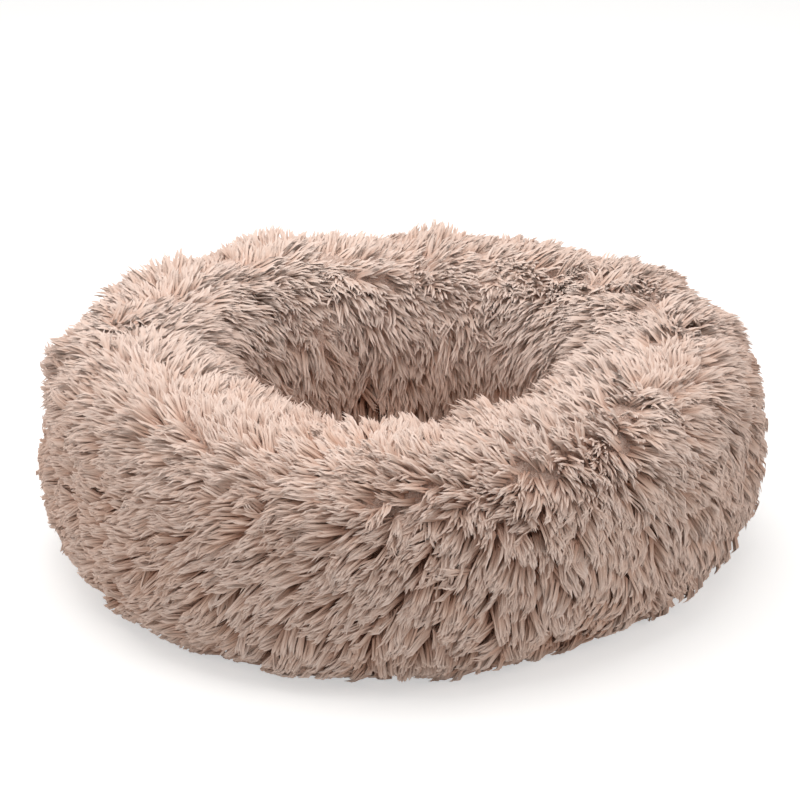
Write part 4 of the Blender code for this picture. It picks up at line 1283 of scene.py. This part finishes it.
def facing_side(back):
    """One side of the facing, from the slot's edge out. Shares below 0 run over the lip, the wall
    stands at 0 and shares above 0 run over the flange, and the back lies a cloth further out."""
    out = FACING_OUT[None, :, None]
    outset = back * FACING_CLOTH
    over = np.where(out < 0, WINDOW_HALF - SLOT_HALF + outset, FACING_FLANGE - outset)
    half = WINDOW_HALF + outset + out * over
    height = FACING_FLOOR + FACING_RISE * (LIP_HEIGHT - FACING_CLOTH - FACING_FLOOR) + outset
    return box_edge(all_round(FACING_AROUND)[:, None], (half[..., 0], half[..., 1]), height)


cloth_piece(
    "facing", (facing_side(0), facing_side(1)), lining_material, ("zip_facing",), "facing_cloth",
    "stretched", goes_round=True, rests_on=["base_cloth"],
)

# %% Tapes
TAPE_CLOTH, TAPE_WIDTH, TAPE_START = 0.6 * MM, 12 * MM, 4.1 * MM
TAPE_STEPS, TAPE_ACROSS = 120, 8
SELVEDGE_THINNER, SELVEDGE_POWER = 0.4, 8
TAPE_COLOURS = ("#1F1C1B", "#2F2C2B", "#3C3836")
zip_tape_material = woven(
    "herringbone zip tape", TAPE_COLOURS, (0.9 * MM, 1.3 * MM), 0.15 * MM, 0.8
)


def tape_side(sign, height):
    """One side of a tape: a flat strip beside the teeth, with a selvedge a little thinner."""
    x = np.linspace(-WINDOW_HALF[0], WINDOW_HALF[0], TAPE_STEPS)[:, None]
    across = np.linspace(0, 1, TAPE_ACROSS)[None, :: -sign]
    y = ZIP_PLACE[1] + sign * (TAPE_START + TAPE_WIDTH * across)
    z = ZIP_PLACE[2] + height * (1 - SELVEDGE_THINNER * across**SELVEDGE_POWER)
    return np.stack(np.broadcast_arrays(x, y, z), -1)


for side, sign in (("front", -1), ("rear", 1)):
    grids = [tape_side(sign, height) for height in (-TAPE_CLOTH / 2, TAPE_CLOTH / 2)]
    cloth_piece(
        "tape_" + side, grids, zip_tape_material, ("zip_tape_" + side,), "zip_tape", "stretched",
        rests_on=["facing"],
    )

# %% Hard pieces of the zip
SMOOTHER, ROUGHER = 0.08, 0.10
SPECKLE_LOW, SPECKLE_HIGH = 0.3, 0.7
SPECKLE_BUMP = 0.5


def speckled(name, colours, roughness, metallic, grain, relief):
    """A moulded or lacquered finish: fine noise varies the colour a little and roughens the
    surface by a bump of the given relief."""
    material, tree, shader = new_material(name, Metallic=metallic)
    speckle = pattern(tree, Scale=1 / grain, Detail=4.0)
    ends = {"_3": roughness - SMOOTHER, "_4": roughness + ROUGHER}
    spread = add_node(tree, "MapRange", _0=speckle, _1=SPECKLE_LOW, _2=SPECKLE_HIGH, **ends)
    tree.links.new(spread.outputs[0], shader.inputs["Roughness"])
    stops = tuple(zip((SPECKLE_LOW, SPECKLE_HIGH), colours))
    dress(tree, shader, speckle, stops, speckle, relief, SPECKLE_BUMP)
    return material


acetal = speckled("moulded acetal", ("#2A2725", "#3A3633"), 0.42, 0.0, 1.2 * MM, 0.03 * MM)
plated = speckled("zinc-plated steel", ("#7E7C79", "#9A9895"), 0.36, 1.0, 0.8 * MM, 0.02 * MM)
lacquered = speckled(
    "lacquered zinc casting", ("#5F5C5A", "#7A7774"), 0.38, 1.0, 2.0 * MM, 0.02 * MM
)
for finish, names in (
    (acetal, ("zip_teeth_front", "zip_teeth_rear")),
    (plated, ("zip_top_stop_front", "zip_top_stop_rear", "zip_bottom_stop")),
    (lacquered, ("zip_slider", "zip_pull")),
):
    for node_name in names:
        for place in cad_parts[node_name].material_slots:
            place.material = finish
    print("%s on %s" % (finish.name, ", ".join(names)))

# %% [markdown]
# ## The stuffed inserts
#
# Inside the cover lie two inserts, a ring and a round pad. Each is a bag of thin non-woven cloth,
# blown full of loose polyester fibre through a slit at the back. The bag's wrinkles could be
# modelled by hand, but real ones come from cloth that is a little too big for its filling. So the
# bag's cloth is let out by a few per cent and pressed from inside in a short cloth simulation, and
# no point may move further than the cover leaves room for. Underneath, both bags arch over the zip.

# %% Insert surfaces
RING_LINER = BASE_UNDERSIDE + BASE_CLOTH + TOUCH_GAP
PAD_FOOT_TURN, PAD_RIM_PAST_SEAM, PAD_FLOOR = 245.0, 1.2, BASE_CLOTH + TOUCH_GAP
GROOVE_HALF = WINDOW_HALF + FACING_FLANGE + 4 * MM
GROOVE_TOP, GROOVE_SLOPE = 9.6 * MM, 14 * MM
POLE = 6 * MM
RING_PROFILE_STEPS, PAD_PROFILE_STEPS = 400, 60


def clear_of_zip(points, depth):
    """Lifts points over the zip: to the groove's top inside its box, and less and less beyond
    it, by a smooth step."""
    beyond = np.maximum(np.abs(points[..., :2] - ZIP_PLACE[:2]) - GROOVE_HALF - depth, 0)
    share = np.clip(1 - np.linalg.norm(beyond, axis=-1) / GROOVE_SLOPE, 0, 1)
    lifted = (GROOVE_TOP + depth) * smooth_step(share)
    return np.concatenate([points[..., :2], np.maximum(points[..., 2:], lifted[..., None])], -1)


def insert_grid(radius, height, rows, columns, depth):
    """A profile, with its points brought to even lengths along it, carried round the bed."""
    walked = summed(np.hypot(np.diff(radius), np.diff(height)))
    even = np.linspace(0, walked[-1], columns)
    around = np.arange(rows)[:, None] * 360 / rows
    points = shaped(np.interp(even, walked, radius), np.interp(even, walked, height), around)
    return clear_of_zip(points, depth)


def ring_grid(depth, rows, columns):
    """The stuffed ring at this depth: the bed's own section, set in, from one lip of the slit at
    the outermost turn all the way to the other."""
    turn = np.linspace(SLIT_TURN, 360 - SLIT_TURN, RING_PROFILE_STEPS)
    return insert_grid(*section(turn, RING_LINER + depth), rows, columns, depth)


def pad_grid(depth, rows, columns):
    """The pad at this depth, from its bottom pole out, up its rim and over its crown: flat
    below, the ring's own curve at the rim and the nest's parabola above."""
    turn = np.linspace(PAD_FOOT_TURN, NEST_SEAM_TURN + PAD_RIM_PAST_SEAM, PAD_PROFILE_STEPS)
    rim_radius, rim_height = section(turn, (PILE - depth, PILE - depth, -depth))
    rim_height = np.maximum(rim_height, PAD_FLOOR + depth)
    crown = np.linspace(rim_radius[-1], POLE, PAD_PROFILE_STEPS)[1:]
    radius = np.concatenate([[POLE], rim_radius, crown])
    crown_height = nest_back(crown) - TOUCH_GAP - depth
    height = np.concatenate([[PAD_FLOOR + depth], rim_height, crown_height])
    return insert_grid(radius, height, rows, columns, depth)


# %% Closed bags
def bag(name, grid, is_ring, slit=None, seams=()):
    """Triangles over a grid that is joined round the bed. A ring's last column is joined to its
    first, but for the rows in the slit, and a pad gets a fan of triangles at each pole. The
    columns that are sewn form a vertex group."""
    rows, columns = grid.shape[:2]
    index = closed_ring(np.arange(rows * columns).reshape(rows, columns), True)
    quads = grid_quads(index)
    points = grid.reshape(-1, 3)
    if is_ring:
        strip = edge_quads(index[:, -1], index[:, 0])
        quads = np.concatenate([quads, strip if slit is None else strip[~slit]])
    triangles = np.concatenate([quads[:, [0, 1, 2]], quads[:, [0, 2, 3]]])
    if not is_ring:
        low, high = (np.full(rows, len(points) + k) for k in (0, 1))
        fans = [
            np.stack([index[:-1, 0], low, index[1:, 0]], -1),
            np.stack([index[:-1, -1], index[1:, -1], high], -1),
        ]
        triangles = np.concatenate([triangles, *fans])
        points = np.concatenate([points, [grid[:, 0].mean(0), grid[:, -1].mean(0)]])
    obj = mesh_from_arrays(name, points, triangles)
    sewn = obj.vertex_groups.new(name="seams")
    sewn.add(index[:-1, list(seams)].ravel().tolist(), 1.0, "REPLACE")
    return obj


# %% Blow up the bags
LET_OUT_SHARE, AIR_PRESSURE, AIR_FRAMES = 0.07, 1.5, 20
SWELL_ROOM = 2.3 * MM


def blown_up(obj):
    """Runs a short cloth simulation with pressure and slightly too much cloth, held at its seams.
    Each point moves by no more than its room, and the result is kept as the mesh."""
    before = np.empty(len(obj.data.vertices) * 3, np.float32)
    obj.data.vertices.foreach_get("co", before)
    air = obj.modifiers.new("air", "CLOTH")
    air.settings.use_pressure = True
    air.settings.uniform_pressure_force = AIR_PRESSURE
    air.settings.shrink_min = -LET_OUT_SHARE
    air.settings.vertex_group_mass = "seams"
    air.settings.effector_weights.gravity = 0
    air.collision_settings.use_collision = False
    for step in range(1, AIR_FRAMES + 1):
        bpy.context.scene.frame_set(step)
    simulated = obj.evaluated_get(bpy.context.evaluated_depsgraph_get()).data
    after = np.empty_like(before)
    simulated.vertices.foreach_get("co", after)
    obj.modifiers.remove(air)
    bpy.context.scene.frame_set(1)
    moved = (after - before).reshape(-1, 3)
    distance = np.maximum(np.linalg.norm(moved, axis=1, keepdims=True), TINY)
    moved = moved * SWELL_ROOM * np.tanh(distance / SWELL_ROOM) / distance
    obj.data.vertices.foreach_set("co", (before.reshape(-1, 3) + moved).ravel())
    obj.data.update()
    print("%s: moved %.1f mm on average" % (obj.name, np.linalg.norm(moved, axis=1).mean() / MM))


# %% Liner and filling materials
BOND_SPACING, BOND_SHARE = 2.5 * MM, 0.4
LINER_STOPS = ((0.35, "#D3CFC7"), (0.6, "#E6E3DD"), (0.9, "#F0EEE9"))
liner_material, tree, shader = new_material(
    "bonded non-woven liner", Roughness=0.9, Sheen_Weight=0.1
)
fibres = pattern(tree, Scale=120.0, Detail=6.0, Distortion=1.5)
bonds = pattern(tree, "TexVoronoi", output="Distance", Scale=1 / BOND_SPACING, Randomness=0.15)
both = math_node(tree, "MULTIPLY_ADD", bonds, BOND_SHARE, fibres)
dress(tree, shader, both, LINER_STOPS, both, 0.3 * MM, 0.6)

fill_material = noisy(
    "loose polyester filling",
    {"Scale": 70.0, "Detail": 8.0, "Roughness": 0.7, "Distortion": 2.5},
    ((0.3, "#DEDCD7"), (0.5, "#EFEEEB"), (0.7, "#F7F6F4")),
    2 * MM, 0.8, Roughness=1.0, Sheen_Weight=0.3,
)

# %% Bags
BAG_CLOTH, BAG_DEPTH = 1.0 * MM, 2.5 * MM
SLIT_TURN, SLIT_ANGLE, SLIT_HALF_ANGLE = 0.25, 90, 13.0
RING_ROWS, RING_COLUMNS, PAD_ROWS, PAD_COLUMNS = 192, 62, 112, 42
RING_SEAMS, PAD_SEAMS = (0, RING_COLUMNS // 2, RING_COLUMNS - 1), (17, 18)


def insert_piece(obj, material, node):
    """A stuffed piece on the root body, standing for its solid."""
    declared(obj, material, (node,))
    print("%s: %d triangles" % (obj.name, len(obj.data.polygons)))


row_middles = (np.arange(RING_ROWS) + 0.5) * 360 / RING_ROWS
ring_slit = np.abs(wrapped(row_middles - SLIT_ANGLE)) < SLIT_HALF_ANGLE
ring_bag = bag("ring_bag", ring_grid(BAG_DEPTH, RING_ROWS, RING_COLUMNS), True, ring_slit, RING_SEAMS)
pad_bag = bag("pad_bag", pad_grid(BAG_DEPTH, PAD_ROWS, PAD_COLUMNS), False, seams=PAD_SEAMS)
for obj, node in ((ring_bag, "ring_liner"), (pad_bag, "pad_liner")):
    blown_up(obj)
    thickness = obj.modifiers.new("cloth thickness", "SOLIDIFY")
    thickness.thickness, thickness.offset = BAG_CLOTH, -1
    insert_piece(obj, liner_material, node)

# %% Fillings
FILLING_DEPTH, LUMP = 6.4 * MM, 4 * MM
LUMP_WAVES = ((0.3, 40 * MM), (0.2, 16 * MM))


def lumpy(name, node, grid_at, rows, columns, seed):
    """A filling whose surface lies between two depths, nearer the one or the other by two lengths
    of waves."""
    shallow, deep = (grid_at(depth, rows, columns) for depth in (FILLING_DEPTH, FILLING_DEPTH + LUMP))
    share = 0.5
    for k, (weight, wavelength) in enumerate(LUMP_WAVES):
        share = share + weight * waves(shallow, wavelength, seed + k)
    surface = shallow + np.clip(share, 0, 1)[..., None] * (deep - shallow)
    insert_piece(bag(name, surface, grid_at is ring_grid), fill_material, node)


lumpy("ring_filling", "ring_fibre", ring_grid, 132, 44, 21)
lumpy("pad_filling", "pad_fibre", pad_grid, 84, 30, 31)

# %% [markdown]
# ## Floor, background and light
#
# A plain white floor and a pale room, lit by one large soft lamp above and a weak fill from
# each side. The floor glows a little, but only for the camera, so that it shows white and still
# keeps the bed's shadow, and throws no extra light on the bed.

# %% Stage
STAGE_WHITE = "#DADAD9"
FLOOR_SIDE = 12.0
CAMERA_LIFT = 0.50
ROOM_LIGHT, ROOM_COLOUR = 0.46, (1, 0.985, 0.97, 1)
WHITE = (1, 1, 1, 1)
LAMP_COLOUR = "#FFFCFA"
LAMPS = (
    # name, place, height of its aim, side, watts
    ("overhead softbox", (-0.3, 0.25, 2.0), 0.10, 2.4, 35),
    ("right fill", (2.2, -1.2, 1.6), 0.15, 1.2, 12),
    ("left fill", (-2.2, -1.0, 1.6), 0.15, 1.2, 6),
)


def seen_directly(tree):
    """1 for rays of the camera, a reflection or a pane, and 0 for rays that carry light."""
    path = add_node(tree, "LightPath").outputs
    seen = math_node(tree, "ADD", path["Is Camera Ray"], path["Is Glossy Ray"])
    return math_node(tree, "MINIMUM", math_node(tree, "ADD", seen, path["Is Transmission Ray"]), 1.0)


def make_floor():
    """A flat square under the bed, one quad wide."""
    half = FLOOR_SIDE / 2
    corners = np.array([(-half, -half, 0), (half, -half, 0), (half, half, 0), (-half, half, 0)])
    floor = mesh_from_arrays("floor", corners, np.array([[0, 1, 2, 3]]))
    material, tree, shader = new_material(
        "matt white floor", Base_Color=linear(STAGE_WHITE), Roughness=0.9, Emission_Color=WHITE
    )
    glow = math_node(tree, "MULTIPLY", seen_directly(tree), CAMERA_LIFT)
    tree.links.new(glow, shader.inputs["Emission Strength"])
    floor.data.materials.append(material)


def make_world():
    """A white room for the camera and for reflections, and a softer grey one for light."""
    world = bpy.data.worlds.new("white room")
    world.use_nodes = True
    tree = world.node_tree
    tree.nodes.clear()
    light = add_node(tree, "Background", Color=ROOM_COLOUR, Strength=ROOM_LIGHT).outputs[0]
    white = add_node(tree, "Background", Color=WHITE, Strength=1.0).outputs[0]
    mix = add_node(tree, "MixShader", _0=seen_directly(tree), _1=light, _2=white)
    add_node(tree, "OutputWorld", Surface=mix.outputs[0])
    bpy.context.scene.world = world


def make_lamp(name, place, aim_height, side, watts):
    """A square area lamp at a place, turned to face a point over the middle of the floor."""
    data = bpy.data.lights.new(name, "AREA")
    data.size = side
    data.energy = watts
    data.color = linear(LAMP_COLOUR)[:3]
    lamp = bpy.data.objects.new(name, data)
    bpy.context.scene.collection.objects.link(lamp)
    lamp.location = place
    ahead = Vector((0, 0, aim_height)) - Vector(place)
    lamp.rotation_euler = ahead.to_track_quat("-Z", "Y").to_euler()


make_floor()
make_world()
for lamp in LAMPS:
    make_lamp(*lamp)
bpy.context.scene.view_settings.view_transform = "Standard"
